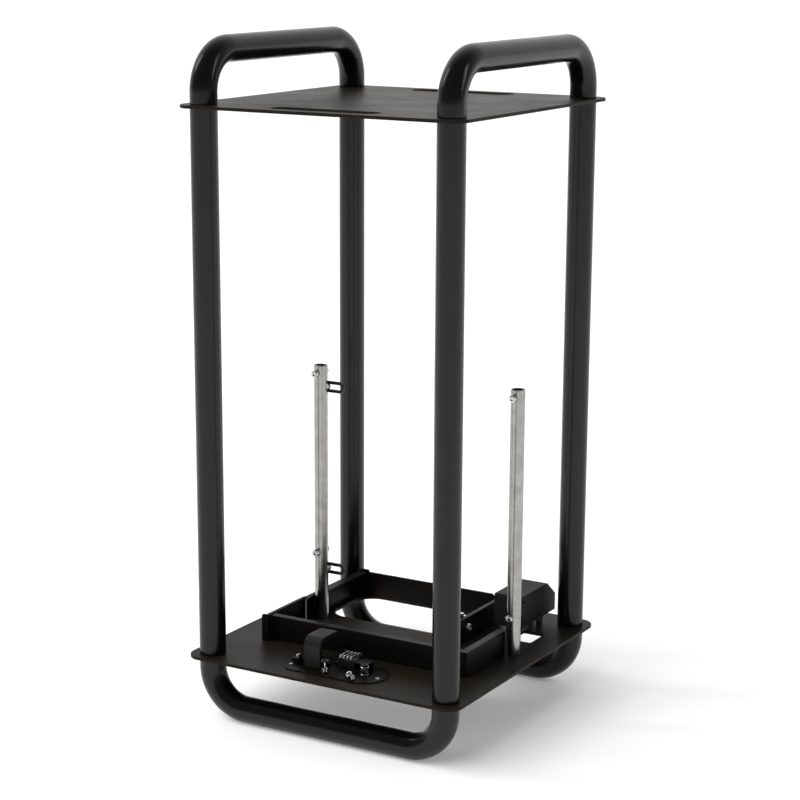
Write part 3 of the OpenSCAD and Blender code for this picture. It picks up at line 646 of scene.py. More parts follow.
def button_head(radius: float, height: float, shank: float, length: float) -> Form:
    """A button-head screw: a shank below its seat at z = 0, a domed head above, and a hexagon socket."""
    socket = radius * 0.42
    return turned([[-length, 0, 0], [-length, shank * 0.8, 0], [-length + 0.6, shank, 0], [0, shank, 0],
                   [0, radius - 0.15, 0], [0.15, radius, 0],
                   *dome(radius, height - 0.3, 0.3, 8, socket * 1.25),
                   [height - 0.05, socket * 1.12, 0.4], [height - 0.35, socket, 1],
                   [height * 0.4, socket * 0.97, 1], [height * 0.36, 0, 0]])


def cylinder_head(radius: float, height: float, socket: float) -> list[list[float]]:
    """Rows of a socket-head screw's head from its seat at z = 0 up: rounded rims and a hexagon socket."""
    return [[0, radius - 0.25, 0], [0.1, radius - 0.07, 0], [0.3, radius, 0],
            [height - 0.6, radius, 0], [height - 0.2, radius - 0.15, 0], [height, radius - 0.6, 0],
            [height, socket * 1.2, 0.3],
            [height - 0.3, socket, 1], [height * 0.4, socket * 0.97, 1], [height * 0.36, 0, 0]]


def thread(low: float, high: float, radius: float, pitch: float) -> list[list[float]]:
    """Rows of a screw thread drawn as rings: every other half pitch the radius is less by 0.3 pitch."""
    count = 2 * int((high - low) / pitch)
    z = np.linspace(low, high, count + 1)
    r = radius - 0.3 * pitch * (np.arange(count + 1) % 2)
    return np.stack([z, r, np.zeros(count + 1)], -1).tolist()


def hexagon_nut(flats: float, height: float, bore: float) -> Form:
    """A nut from z = 0 up, with chamfered corners on both faces and a bore."""
    r, c = flats / 2, flats * 0.07
    return turned([[0, bore, 0], [0, r * 0.97, 0], [c * 0.5, r * 1.03, 0.35], [c, r, 1],
                   [height - c, r, 1], [height - c * 0.5, r * 1.03, 0.35], [height, r * 0.97, 0],
                   [height, bore, 0]], open_bore=True)


# ---------- sub-assemblies ----------

@dataclass
class TubeFrame:
    """Four uprights, two skids and two handles of bent round tube."""

    shop: Workshop
    tube_d: float = 33.7
    wall: float = 2.6
    bend_r: float = 50.5
    chamfer: float = 0.7
    sides: int = 96
    bend_steps: int = 28

    def tube(self, line: np.ndarray, side: Sequence[float]) -> Form:
        """A tube along a line, with a small chamfer at both ends."""
        first, last = line[1] - line[0], line[-2] - line[-1]
        near = line[0] + first / np.linalg.norm(first) * self.chamfer
        far = line[-1] + last / np.linalg.norm(last) * self.chamfer
        full = np.vstack([line[:1], near, line[1:-1], far, line[-1:]])
        radii = np.full(len(full), self.tube_d / 2)
        radii[[0, -1]] -= self.chamfer
        return swept(full, np.asarray(side, float), radii, self.sides, self.tube_d / 2 - self.wall)

    def bent(self, low: np.ndarray, high: np.ndarray, along: int, turned_over: bool) -> Form:
        """A U of tube that fills a box.

        The middle line runs down one leg, round a quarter circle of the bend radius, along the bar, round the
        other quarter circle and up the other leg.

        Args:
            low: the box's lowest corner.
            high: the box's highest corner.
            along: 0 for a bar along X, 1 for a bar along Y.
            turned_over: whether the legs point down.

        Returns:
            The tube's surface.
        """
        r = self.tube_d / 2
        bar, leg = (high[2] - r, low[2]) if turned_over else (low[2] + r, high[2])
        corners = np.zeros((4, 3))
        corners[:, :2] = (low[:2] + high[:2]) / 2
        corners[:, along] = [low[along] + r] * 2 + [high[along] - r] * 2
        corners[:, 2] = [leg, bar, bar, leg]
        line = rounded(corners, self.bend_r, closed=False, steps=self.bend_steps)
        side = np.zeros(3)
        side[1 - along] = 1
        return self.tube(line, side)

    def build(self) -> None:
        """Builds the eight tubes from their nodes' boxes."""
        for node in ("skid_front", "skid_rear"):
            self.shop.piece(node + "_tube", self.bent(*self.shop.box(node), 0, False), node, Shading.ANGLE)
        for node in ("handle_left", "handle_right"):
            self.shop.piece(node + "_tube", self.bent(*self.shop.box(node), 1, True), node, Shading.ANGLE)
        for node in ("front_left", "front_right", "rear_left", "rear_right"):
            low, high = self.shop.box("upright_" + node)
            x, y = (low[:2] + high[:2]) / 2
            line = np.array([(x, y, low[2]), (x, y, (low[2] + high[2]) / 2), (x, y, high[2])])
            tube = self.tube(line, (1, 0, 0))
            self.shop.piece(f"upright_{node}_tube", tube, "upright_" + node, Shading.ANGLE)


@dataclass
class Plates:
    """The base plate with its window and cable opening, and the top plate with two strap slots."""

    shop: Workshop
    corner_r: float = 21
    window_r: float = 28
    window_front: float = 40
    window_back: float = 140.7
    window_x: tuple[float, float] = (-129.7, 59)
    cable: tuple[float, float, float, float] = (131, 160.5, 73, 113)
    slot_l: float = 147
    slot_w: float = 30
    slot_y: float = 166
    edge: float = 0.5

    def build(self) -> None:
        """Builds both plates."""
        low, high = self.shop.box("base_plate")
        window = oblong(*self.window_x, self.window_front, self.window_back, self.window_r, 16)
        cable = oblong(*self.cable, 1.5)
        outline = oblong(low[0], high[0], low[1], high[1], self.corner_r, 16)
        self.shop.piece("base_deck", prism(outline, low[2], high[2], Plane.PLAN, [window, cable], self.edge),
                        "base_plate")
        low, high = self.shop.box("top_plate")
        slots = [oblong(-self.slot_l / 2, self.slot_l / 2, y - self.slot_w / 2, y + self.slot_w / 2,
                        self.slot_w / 2 - 0.01, 12) for y in (-self.slot_y, self.slot_y)]
        outline = oblong(low[0], high[0], low[1], high[1], self.corner_r, 16)
        self.shop.piece("top_shelf", prism(outline, low[2], high[2], Plane.PLAN, slots, self.edge),
                        "top_plate")


@dataclass
class Cradle:
    """Folded sheet walls that hold the docked unit, with the arm and its bracket."""

    shop: Workshop
    sheet: float = 3
    bend: float = 1.1
    corner: float = 0.5
    top_flange: float = 10
    lip: float = 5.3
    strip_w: float = 10.5
    strip_r: float = 3
    rise: float = 3
    seam: float = 0.3
    lap: float = 0.6
    slope: tuple[float, float] = (25, 4)
    guide_flange: float = 12.4
    guide_flange_y: float = 37
    rail_cut: float = 8
    hole_level: float = 0.57
    screw_head_h: float = 4.5
    hole_r: float = 3.3
    hole_y: tuple[float, ...] = (37, 70.5, 104)
    edge: float = 0.35

    def fold(self, corners: Sequence[Sequence[float]], low: float, high: float, plane: Plane) -> Form:
        """Sheet bent once, whose middle line runs through three corners, carried from low to high."""
        end = self.corner
        outline = rounded(strip(np.asarray(corners, float), self.sheet),
                          [end, self.bend, end, end, self.bend, end], steps=6)
        return prism(outline, low, high, plane, edge=self.edge)

    def end_strip(self, x: float, y: float, z: float, height: float) -> Form:
        """An upright end flange with two rounded top corners."""
        corners = rectangle(x, x + self.strip_w, z, z + height)
        outline = rounded(corners, [0.5, 0.5, self.strip_r, self.strip_r], steps=9)
        return prism(outline, y, y + self.sheet, Plane.FACE, edge=self.edge)

    def build(self) -> None:
        """Builds the walls from their nodes' boxes."""
        t, h = self.sheet, self.sheet / 2
        low, high = self.shop.box("front_wall")
        wall = self.fold([(low[1] + h, low[2]), (low[1] + h, high[2] - h), (high[1], high[2] - h)],
                         low[0], high[0], Plane.SIDE)
        self.shop.piece("cradle_front_wall", wall, "front_wall")

        low, high = self.shop.box("right_wall")
        start = low[1] + self.top_flange + self.seam
        bare = oblong(high[0] - t, high[0], low[2], high[2], 0.6)
        wall = [prism(bare, low[1], start - self.seam, Plane.FACE, edge=self.edge),
                self.fold([(high[0] - h, low[2]), (high[0] - h, high[2] - h), (low[0], high[2] - h)],
                          start, high[1], Plane.FACE)]
        self.shop.piece("cradle_right_wall", joined(wall), "right_wall")

        low, high = self.shop.box("left_wall")
        top = high[2] - self.rise
        wall = [self.fold([(low[0] + h, low[2]), (low[0] + h, top - h), (low[0] + self.lip, top - h)],
                          low[1] + t, high[1], Plane.FACE),
                self.end_strip(low[0], low[1], low[2], high[2] - low[2])]
        self.shop.piece("cradle_left_wall", joined(wall), "left_wall")
        self.guide()
        self.rail()
        self.arm()

    def guide(self) -> None:
        """The left guide: a web with a sloped start, a top flange and a rounded rear ear."""
        t = self.sheet
        low, high = self.shop.box("left_guide")
        top = high[2] - self.rise
        rear = high[1] - t
        slope_l, slope_h = self.slope
        web = rounded([(low[1], low[2]), (rear, low[2]), (rear, top), (low[1] + slope_l, top),
                       (low[1], top - slope_h)], [0.5, 0.5, 0.5, 8, 1.5])
        flange = oblong(low[0] + t - self.lap, low[0] + self.guide_flange, self.guide_flange_y, rear, 0.6)
        ear = rectangle(low[0], high[0], low[2], high[2])
        ear_form = prism(rounded(ear, [0.5, 0.5, self.strip_r, self.strip_r], steps=9), rear, high[1],
                         Plane.FACE, edge=self.edge)
        self.shop.piece("cradle_left_guide", joined([
            prism(web, low[0], low[0] + t, Plane.SIDE, edge=self.edge),
            prism(flange, top - t, top - 0.02, Plane.PLAN, edge=self.edge), ear_form]), "left_guide")

    def rail(self) -> None:
        """The rear rail: a face with one cut corner, folded into a foot on the base plate."""
        t = self.sheet
        low, high = self.shop.box("rear_rail")
        cut = self.rail_cut
        face = rounded([(low[0], low[2]), (high[0], low[2]), (high[0], high[2] - cut),
                        (high[0] - cut, high[2]), (low[0], high[2])], [0.5, 0.5, 1, 1, 0.6])
        foot = oblong(low[0], high[0], low[1] + t - 0.4, high[1], 0.6)
        self.shop.piece("cradle_rear_rail", joined([
            prism(face, low[1], low[1] + t, Plane.FACE, edge=self.edge),
            prism(foot, low[2], low[2] + t, Plane.PLAN, edge=self.edge)]), "rear_rail")

    def arm(self) -> None:
        """The side arm and its bracket, with one row of holes through both, and their screw and stud."""
        t = self.sheet
        low, high = self.shop.box("side_arm")
        hole_z = low[2] + (high[2] - low[2]) * self.hole_level
        holes = [ring_outline(y, hole_z, self.hole_r, 36) for y in self.hole_y]
        web = rounded(rectangle(low[1], high[1], low[2], high[2]), 0.6)
        foot = oblong(low[0], high[0] - t + 0.4, low[1], high[1], 0.6)
        self.shop.piece("side_arm_sheet", joined([
            prism(web, high[0] - t, high[0] - 0.01, Plane.SIDE, holes, self.edge),
            prism(foot, low[2], low[2] + t, Plane.PLAN, edge=self.edge)]), "side_arm")
        low, high = self.shop.box("arm_bracket")
        web = rounded(rectangle(low[1], high[1], low[2], high[2]), [0.6, 0.6, 3, 3])
        self.shop.piece("arm_bracket_sheet", prism(web, low[0] + 0.01, high[0], Plane.SIDE, holes, self.edge),
                        "arm_bracket")
        low, high = self.shop.box("arm_screw")
        cap = self.screw_head_h
        head = button_head((high[1] - low[1]) / 2, cap, 3, high[0] - low[0] - cap)
        seat = (high[0] - cap, (low[1] + high[1]) / 2, (low[2] + high[2]) / 2)
        self.shop.piece("arm_button_screw", head.placed(Way.RIGHT, seat), "arm_screw", Shading.ANGLE)
        low, high = self.shop.box("arm_stud")
        r, top = (high[0] - low[0]) / 2, high[2] - low[2]
        stud = turned([[0, 0, 0], [0, r - 0.4, 0], [0.4, r, 0], [top - 0.8, r, 0], [top - 0.2, r - 0.5, 0],
                       [top, r - 1.4, 0], [top, 0, 0]])
        foot = ((low[0] + high[0]) / 2, (low[1] + high[1]) / 2, low[2])
        self.shop.piece("arm_stud_turned", stud.placed(Way.UP, foot), "arm_stud", Shading.ANGLE)


@dataclass
class ElectronicsBox:
    """A sheet box with a sloped rear corner on three standoffs: a wrapped cover between two side panels."""

    shop: Workshop
    sheet: float = 2
    bend: float = 1.6
    cut_y: float = 24
    cut_z: float = 19.5
    step: float = 0.04
    hole_r: float = 2.25
    hole_y: float = 5.5
    hole_z: tuple[float, float] = (9, 34.5)
    edge: float = 0.6
    standoff_r: float = 4.5
    standoffs_at: tuple[tuple[float, float], ...] = ((16, 14), (31, 71), (10, 85))

    def outline(self, low: np.ndarray, high: np.ndarray, t: float) -> list[tuple[float, float]]:
        """Corners of the cover's side from its front foot up and over to its rear foot, drawn in by t."""
        return [(low[1] + t, low[2] + 0.02), (low[1] + t, high[2] - t),
                (high[1] - self.cut_y - t / 2, high[2] - t),
                (high[1] - t, high[2] - self.cut_z - t / 2), (high[1] - t, low[2] + 0.02)]

    def build(self) -> None:
        """Builds the cover and the standoffs."""
        low, high = self.shop.box("box_cover")
        t = self.sheet
        wrap = rounded(self.outline(low, high, t / 2 + self.step), self.bend, closed=False, steps=6)
        panel = rounded(self.outline(low, high, 0), [0.8, 2.4, 2.4, 2.4, 0.8], steps=7)
        holes = [ring_outline(low[1] + self.hole_y, low[2] + z, self.hole_r, 32) for z in self.hole_z]
        parts = [prism(strip(wrap, t), low[0] + t - 0.8, high[0] - t + 0.8, Plane.SIDE, edge=0.1),
                 prism(panel, high[0] - t, high[0], Plane.SIDE, holes, self.edge),
                 prism(panel, low[0], low[0] + t, Plane.SIDE, edge=self.edge)]
        self.shop.piece("box_cover_folded", joined(parts), "box_cover")
        self.standoffs()

    def standoffs(self) -> None:
        """Three turned standoffs between the base plate and the box."""
        low, high = self.shop.box("box_standoffs")
        r, h = self.standoff_r, high[2] - low[2]
        body = turned([[0, 0, 0], [0, r - 0.5, 0], [0.5, r, 0], [h - 0.5, r, 0], [h, r - 0.5, 0], [h, 1.5, 0],
                       [h - 8, 1.5, 0], [h - 8.6, 0, 0]], 36)
        box_low = self.shop.box("box_cover")[0]
        self.shop.piece("box_standoffs_turned", joined(
            body.placed(Way.UP, (box_low[0] + x, box_low[1] + y, low[2])) for x, y in self.standoffs_at),
            "box_standoffs", Shading.ANGLE)


@dataclass
class Posts:
    """Two stainless posts with their through bolts and nuts, and the slotted tabs behind the left one."""

    shop: Workshop
    wall: float = 1.5
    bolt_r: float = 2.5
    head_r: float = 4.5
    head_h: float = 4
    nut_flats: float = 8
    nut_h: float = 4
    tab_h: float = 15
    tab_slot: float = 7
    tab_screw_r: float = 5.5
    tab_screw_h: float = 3
    left_bolts: tuple[float, float] = (93.1, 335.4)
    right_bolts: tuple[float, float] = (50.5, 335.8)

    def build(self) -> None:
        """Builds the posts, bolts, nuts and tabs."""
        centres: dict[str, np.ndarray] = {}
        for side in ("left", "right"):
            low, high = self.shop.box("post_" + side)
            r, h, c = (high[0] - low[0]) / 2, high[2] - low[2], 0.4
            bore = r - self.wall
            tube = turned([[0, bore, 0], [0, r - c, 0], [c, r, 0], [h - c, r, 0], [h - 0.1, r - 0.25, 0],
                           [h, r - c, 0], [h, bore + 0.3, 0], [h - 0.3, bore, 0]], 96, open_bore=True)
            foot = (low + high) / 2
            foot[2] = low[2]
            centres[side] = foot
            self.shop.piece(f"post_{side}_tube", tube.placed(Way.UP, foot), "post_" + side, Shading.ANGLE)
        heights = (("left", self.left_bolts), ("right", self.right_bolts))
        points = [(centres[side], z) for side, levels in heights for z in levels]
        low, high = self.shop.box("post_bolts")
        length = high[1] - low[1] - self.head_h
        bolt = turned([[-length, 0, 0], [-length, self.bolt_r - 0.6, 0],
                       *thread(-length + 0.5, -0.2, self.bolt_r, 0.8),
                       *cylinder_head(self.head_r, self.head_h, 2)], 36)
        self.shop.piece("post_socket_bolts", joined(
            bolt.placed(Way.FRONT, (foot[0], low[1] + self.head_h, foot[2] + z)) for foot, z in points),
            "post_bolts", Shading.ANGLE)
        low, high = self.shop.box("post_nuts")
        nut = hexagon_nut(self.nut_flats, self.nut_h, self.bolt_r - 0.1)
        self.shop.piece("post_hexagon_nuts", joined(
            nut.placed(Way.BACK, (foot[0], y, foot[2] + z))
            for foot, z in points for y in (low[1], high[1] - self.nut_h)), "post_nuts", Shading.ANGLE)
        self.tabs(centres["left"])

    def tabs(self, foot: np.ndarray) -> None:
        """The two slotted tabs with their bushes and screws."""
        for node in ("upper_tab", "lower_tab"):
            low, high = self.shop.box(node)
            z = (low[2] + high[2]) / 2
            r, s = self.tab_h / 2, self.tab_slot / 2
            outline = oblong(low[0], high[0], low[2], high[2], r - 0.01, 16)
            slot = oblong(low[0] + r - s, high[0] - r + s, z - s, z + s, s - 0.01, 12)
            self.shop.piece(node + "_plate", prism(outline, low[1], high[1], Plane.FACE, [slot], 0.3), node)
        low, high = self.shop.box("tab_screws")
        levels = [low[2] + self.tab_screw_r, high[2] - self.tab_screw_r]
        seat = high[1] - self.tab_screw_h
        screw = button_head(self.tab_screw_r, self.tab_screw_h, 2, seat - low[1])
        self.shop.piece("tab_button_screws", joined(
            screw.placed(Way.BACK, (foot[0], seat, z)) for z in levels), "tab_screws", Shading.ANGLE)
        low, high = self.shop.box("tab_bushes")
        length = high[1] - low[1]
        bush = turned([[0, 2, 0], [0, 5.2, 0], [0.3, 5.5, 0], [1.7, 5.5, 0], [2, 5.2, 0], [2, 3.2, 0],
                       [length, 3.2, 0], [length, 2, 0]], open_bore=True)
        self.shop.piece("tab_bushes_turned", joined(
            bush.placed(Way.BACK, (foot[0], low[1], z)) for z in levels), "tab_bushes", Shading.ANGLE)


@dataclass
class LatchUnit:
    """The dock plate with the hook, its bracket, pin and spring, and the small hardware beside them."""

    shop: Workshop
    left_r: float = 16
    right_r: float = 31
    hook_t: float = 6
    hook_bend: float = 14
    notch_w: float = 7
    eye_r: float = 5.5
    wire: float = 1.2
    turns: int = 4
    foot_t: float = 2
    pad_h: float = 6
    cheek_t: float = 3
    cheek_r: float = 5
    dock_screw: tuple[float, float, float] = (3, 2, 1.5)       # head radius, head height, shank radius
    bracket_screw: tuple[float, float, float] = (4.5, 3.2, 2)

    def build(self) -> None:
        """Builds the latch side of the unit."""
        low, high = self.shop.box("dock_plate")
        outline = rounded(rectangle(low[0], high[0], low[1], high[1]),
                          [self.left_r, self.right_r, self.right_r, self.left_r], steps=20)
        self.shop.piece("dock_plate_sheet", prism(outline, low[2], high[2], Plane.PLAN, edge=0.3),
                        "dock_plate")
        self.hook()
        self.bracket()
        self.spring()
        self.screws()
        self.standoff()
        self.nuts()
        self.guide()

    def hook(self) -> None:
        """The hook: a wide strap that rises from its eye, bends back and ends in a notched, toothed tip."""
        low, high = self.shop.box("latch_hook")
        t, yf, yb, top = self.hook_t, low[1], high[1], high[2]
        under, foot_z = top - t, low[2]
        eye = (yf + self.eye_r, foot_z + self.eye_r)
        a = np.linspace(-0.5 * math.pi, 0.42 * math.pi, 14)
        foot = np.stack([eye[0] + self.eye_r * np.cos(a), eye[1] + self.eye_r * np.sin(a)], -1)
        rise = [(yf + t, eye[1] + 8), (yf + t, under), (yb - 20, under), (yb - 14, under - 4.5)]
        front = [(yf, top), (yf, foot_z), (eye[0] - 0.6, foot_z)]
        tip = [(yb - 3, under - 5.5), (yb, under - 2.5), (yb - 1, top - 3.5), (yb - 9, top - 0.8),
               (yb - 12, top)]
        stub = [(yb - 9, under - 5), (yb - 9, top - 0.9), (yb - 12, top)]
        rise_r, front_r = [2, self.hook_bend - t, 3, 2], [self.hook_bend, 1, 0.1]
        tip_r = [1.2, 1.2, 1.4, 2, 2]
        whole = np.vstack([foot, rounded(rise + tip + front, [*rise_r, *tip_r, *front_r], steps=9)])
        cut = np.vstack([foot, rounded(rise + stub + front, [*rise_r, 1, 1, 1, *front_r], steps=9)])
        split = high[0] - self.notch_w
        pin = [ring_outline(*eye, 2.05, 32)]
        self.shop.piece("latch_hook_strap", joined([
            prism(whole, low[0], split + 0.4, Plane.SIDE, pin, 0.9, 4),
            prism(cut, split - 0.6, high[0], Plane.SIDE, pin, 0.9, 4)]), "latch_hook")

    def bracket(self) -> None:
        """The hook's bracket: a foot, a raised pad under the screw and two cheeks with the pin's holes."""
        low, high = self.shop.box("hook_bracket")
        hook_low = self.shop.box("latch_hook")[0]
        eye = (hook_low[1] + self.eye_r, hook_low[2] + self.eye_r)
        cheek, round_r = self.cheek_t, self.cheek_r
        right = high[0] - cheek
        left = hook_low[0] - 0.5 - self.turns * self.wire - cheek - 0.2
        a = np.linspace(0, math.pi, 15)
        crown = np.stack([eye[0] + round_r * np.cos(a), eye[1] + round_r * np.sin(a)], -1)
        side = np.vstack([[(eye[0] - round_r, low[2]), (eye[0] + 2 * round_r, low[2]),
                           (eye[0] + 2 * round_r, low[2] + 3)], crown])
        hole = [ring_outline(*eye, 2, 28)]
        foot = oblong(low[0], left + cheek, low[1], high[1], 1.4)
        back = oblong(left + cheek - 1, high[0], eye[0] + self.eye_r * math.sqrt(2), high[1], 0.4)
        pad = oblong(low[0] + 1.5, left + 0.5, low[1] + 3, high[1], 1.5)
        self.shop.piece("hook_bracket_folded", joined([
            prism(foot, low[2], low[2] + self.foot_t, Plane.PLAN, edge=0.3),
            prism(back, low[2], low[2] + self.foot_t, Plane.PLAN, edge=0.3),
            prism(pad, low[2], low[2] + self.pad_h, Plane.PLAN, edge=0.5),
            prism(side, left, left + cheek, Plane.SIDE, hole, 0.3),
            prism(side, right, right + cheek, Plane.SIDE, hole, 0.3)]), "hook_bracket")
        low, high = self.shop.box("hook_pin")
        r, length = (high[1] - low[1]) / 2, high[0] - low[0]
        pin = turned([[0, 0, 0], [0, r - 0.3, 0], [0.3, r, 0], [length - 0.3, r, 0], [length, r - 0.3, 0],
                      [length, 0, 0]], 36)
        self.shop.piece("hook_pin_turned", pin.placed(Way.RIGHT, (low[0], *eye)), "hook_pin", Shading.ANGLE)

    def spring(self) -> None:
        """The torsion spring: a wire round the pin, x along the pin growing evenly with the angle."""
        low, high = self.shop.box("hook_spring")
        r = (high[1] - low[1]) / 2 - self.wire / 2
        y, z = (low[1] + high[1]) / 2, (low[2] + high[2]) / 2
        a = np.linspace(0, math.tau * (self.turns - 0.05), 160)
        x = np.linspace(low[0] + self.wire / 2, high[0] - self.wire / 2, len(a))
        side = np.stack([np.zeros_like(a), np.cos(a), np.sin(a)], -1)
        line = np.stack([x, y + r * np.cos(a), z + r * np.sin(a)], -1)
        radii = np.full(len(a), self.wire / 2 - 0.01)
        radii[[0, -1]] *= 0.7
        self.shop.piece("hook_spring_wire", swept(line, side, radii, 12), "hook_spring", Shading.ANGLE)

    def screws(self) -> None:
        """The two button screws of the dock plate and the one of the bracket."""
        low, high = self.shop.box("dock_screws")
        r, cap, shank = self.dock_screw
        head = button_head(r, cap, shank, high[2] - low[2] - cap)
        ends = [(low[0] + r, low[1] + r), (high[0] - r, high[1] - r)]
        self.shop.piece("dock_button_screws", joined(
            head.placed(Way.UP, (x, y, high[2] - cap)) for x, y in ends), "dock_screws", Shading.ANGLE)
        low, high = self.shop.box("bracket_screw")
        x, y = (low[:2] + high[:2]) / 2
        r, cap, shank = self.bracket_screw
        screw = button_head(r, cap, shank, high[2] - low[2] - cap)
        self.shop.piece("bracket_button_screw", screw.placed(Way.UP, (x, y, high[2] - cap)),
                        "bracket_screw", Shading.ANGLE)

    def standoff(self) -> None:
        """The turned standoff with its groove, and the socket screw on it."""
        low, high = self.shop.box("standoff_screw")
        x, y = (low[:2] + high[:2]) / 2
        screw = turned([[-8, 0, 0], [-8, 1.6, 0], [-7.6, 2, 0], [0, 2, 0], *cylinder_head(4.5, 3, 1.9)], 36)
        self.shop.piece("standoff_socket_screw", screw.placed(Way.UP, (x, y, high[2] - 3)), "standoff_screw",
                        Shading.ANGLE)
        low, high = self.shop.box("dock_standoff")
        r, h = (high[0] - low[0]) / 2, high[2] - low[2]
        groove = r - 0.35
        body = turned([[0, 0, 0], [0, r - 0.5, 0], [0.5, r, 0], [2.2, r, 0], [2.5, groove, 0],
                       [3.1, groove, 0], [3.4, r, 0], [h - 0.5, r, 0], [h, r - 0.6, 0], [h, 2, 0],
                       [h - 7, 2, 0], [h - 8, 0, 0]])
        self.shop.piece("dock_standoff_turned", body.placed(Way.UP, (x, y, low[2])), "dock_standoff",
                        Shading.ANGLE)

    def nuts(self) -> None:
        """The two domed nuts, the small one to the front and right of the big one."""
        low, high = self.shop.box("cap_nut")
        big = turned([[0, 0, 0], [0, 4.6, 0], [0.4, 4.76, 0.6], [3.2, 4.76, 1], [3.9, 4.9, 0], [4, 4.7, 0],
                      *dome(4.6, 4.5, 4.1, 10), [8.6, 0, 0]])
        small = turned([[0, 0, 0], [0, 2.5, 0], [0.3, 2.6, 0.6], [3.4, 2.6, 1], [4, 2.6, 0],
                        *dome(2.5, 2.4, 4.1, 8), [6.5, 0, 0]], 36)
        big_at = (low[0] + 5.5, high[1] - 4.76, low[2])
        small_at = (big_at[0] + 9, big_at[1] - 6, low[2])
        self.shop.piece("domed_nuts", joined([big.placed(Way.UP, big_at), small.placed(Way.UP, small_at)]),
                        "cap_nut", Shading.ANGLE)

    def guide(self) -> None:
        """The stud with its hexagon, and the disc on top of it."""
        low, high = self.shop.box("guide_stud")
        x, y = (low[:2] + high[:2]) / 2
        h = high[2] - low[2]
        stud = turned([[0, 0, 0], [0, 3.8, 0], [0.4, 3.85, 0.5], [0.8, 3.9, 1], [4.2, 3.9, 1],
                       [4.7, 3.95, 0.3], [5, 4, 0], [6.6, 3.2, 0], [7, 3, 0], [7, 2, 0], [h - 0.5, 2, 0],
                       [h, 1.6, 0], [h, 0, 0]])
        self.shop.piece("guide_stud_turned", stud.placed(Way.UP, (x, y, low[2])), "guide_stud", Shading.ANGLE)
        low, high = self.shop.box("guide_disc")
        r, h = (high[0] - low[0]) / 2, high[2] - low[2]
        disc = turned([[0, 2, 0], [0, r - 0.6, 0], [0.2, r - 0.2, 0], [0.6, r, 0], [h - 0.6, r, 0],
                       [h - 0.2, r - 0.2, 0], [h, r - 0.6, 0], [h, 2, 0]], open_bore=True)
        self.shop.piece("guide_disc_turned", disc.placed(Way.UP, (x, y, low[2])), "guide_disc", Shading.ANGLE)


@dataclass
class ContactUnit:
    """The moulded block with four spring contacts on a rod, and the bent shelf beside it."""

    shop: Workshop
    strip_t: float = 0.9
    eye_r: float = 2
    bend: float = 2.2
    stem_inset: float = 0.22
    wing_w: float = 6
    wing_h: float = 5
    ear_t: float = 2.4
    shelf_t: float = 1.5

    def build(self) -> None:
        """Builds the block, rod, contacts and shelf."""
        low, high = self.shop.box("contact_block")
        rod_low, rod_high = self.shop.box("contact_rod")
        rod = ((rod_low[1] + rod_high[1]) / 2, (rod_low[2] + rod_high[2]) / 2)
        x0, top = low[0] + self.wing_w, rod[1] - 3.1
        body = rounded([(low[1], low[2]), (high[1], low[2]), (high[1], top), (low[1] + 2, top),
                        (low[1], top - 2)], [0.4, 0.6, 0.6, 1, 1])
        ear = rounded(rectangle(rod[0] - 3, high[1], low[2], high[2]), [0.6, 0.6, 2.2, 2.2])
        hole = [ring_outline(*rod, 1, 24)]
        wing = oblong(low[0], x0 + 0.5, low[1] + 2, high[1], 1.2)
        self.shop.piece("contact_block_moulded", joined([
            prism(body, x0, high[0], Plane.SIDE, edge=0.5),
            prism(ear, x0, x0 + self.ear_t, Plane.SIDE, hole, 0.35),
            prism(ear, high[0] - self.ear_t, high[0], Plane.SIDE, hole, 0.35),
            prism(wing, low[2], low[2] + self.wing_h, Plane.PLAN, edge=0.6)]), "contact_block")
        length = rod_high[0] - rod_low[0]
        bar = turned([[0, 0, 0], [0, 0.8, 0], [0.2, 1, 0], [length - 0.2, 1, 0], [length, 0.8, 0],
                      [length, 0, 0]], 24)
        self.shop.piece("contact_rod_turned", bar.placed(Way.RIGHT, (rod_low[0], *rod)), "contact_rod",
                        Shading.ANGLE)
        for i in range(1, 5):
            self.contact(f"contact_{i}", rod)
        low, high = self.shop.box("contact_shelf")
        t, h = self.shelf_t, self.shelf_t / 2
        line = rounded([(low[0], high[2] - h), (high[0] - h, high[2] - h), (high[0] - h, low[2])], 1.6,
                       closed=False)
        self.shop.piece("contact_shelf_bent", prism(strip(line, t), low[1], high[1], Plane.FACE, edge=0.25),
                        "contact_shelf")

    def contact(self, node: str, rod: tuple[float, float]) -> None:
        """One spring contact: strip curled round the rod, a narrow level stem, and a wider lip bent down."""
        low, high = self.shop.box(node)
        h = self.strip_t / 2
        a = np.linspace(-1.35 * math.pi, 0.5 * math.pi, 26)[:-1]
        r = self.eye_r - h
        curl = np.stack([rod[0] - r * np.cos(a), rod[1] + r * np.sin(a)], -1)
        top, face = high[2] - h, low[1] + h
        stem = np.vstack([curl, [(rod[0], top), (face + 3, top)]])
        lip = rounded([(face + 4, top), (face, top), (face, low[2] + 0.05)], self.bend, closed=False, steps=9)
        narrow = (high[0] - low[0]) * self.stem_inset
        self.shop.piece(node + "_strip", joined([
            prism(strip(stem, self.strip_t - 0.02), low[0] + narrow, high[0] - narrow, Plane.SIDE, edge=0.15),
            prism(strip(lip, self.strip_t), low[0], high[0], Plane.SIDE, edge=0.18)]), node)


# ---------- studio ----------

@dataclass(frozen=True)
class LightStrip:
    """A soft rectangular light: where it stands and its size in metres, and its power in watts."""

    name: str
    at: tuple[float, float, float]
    size: tuple[float, float]
    watts: float


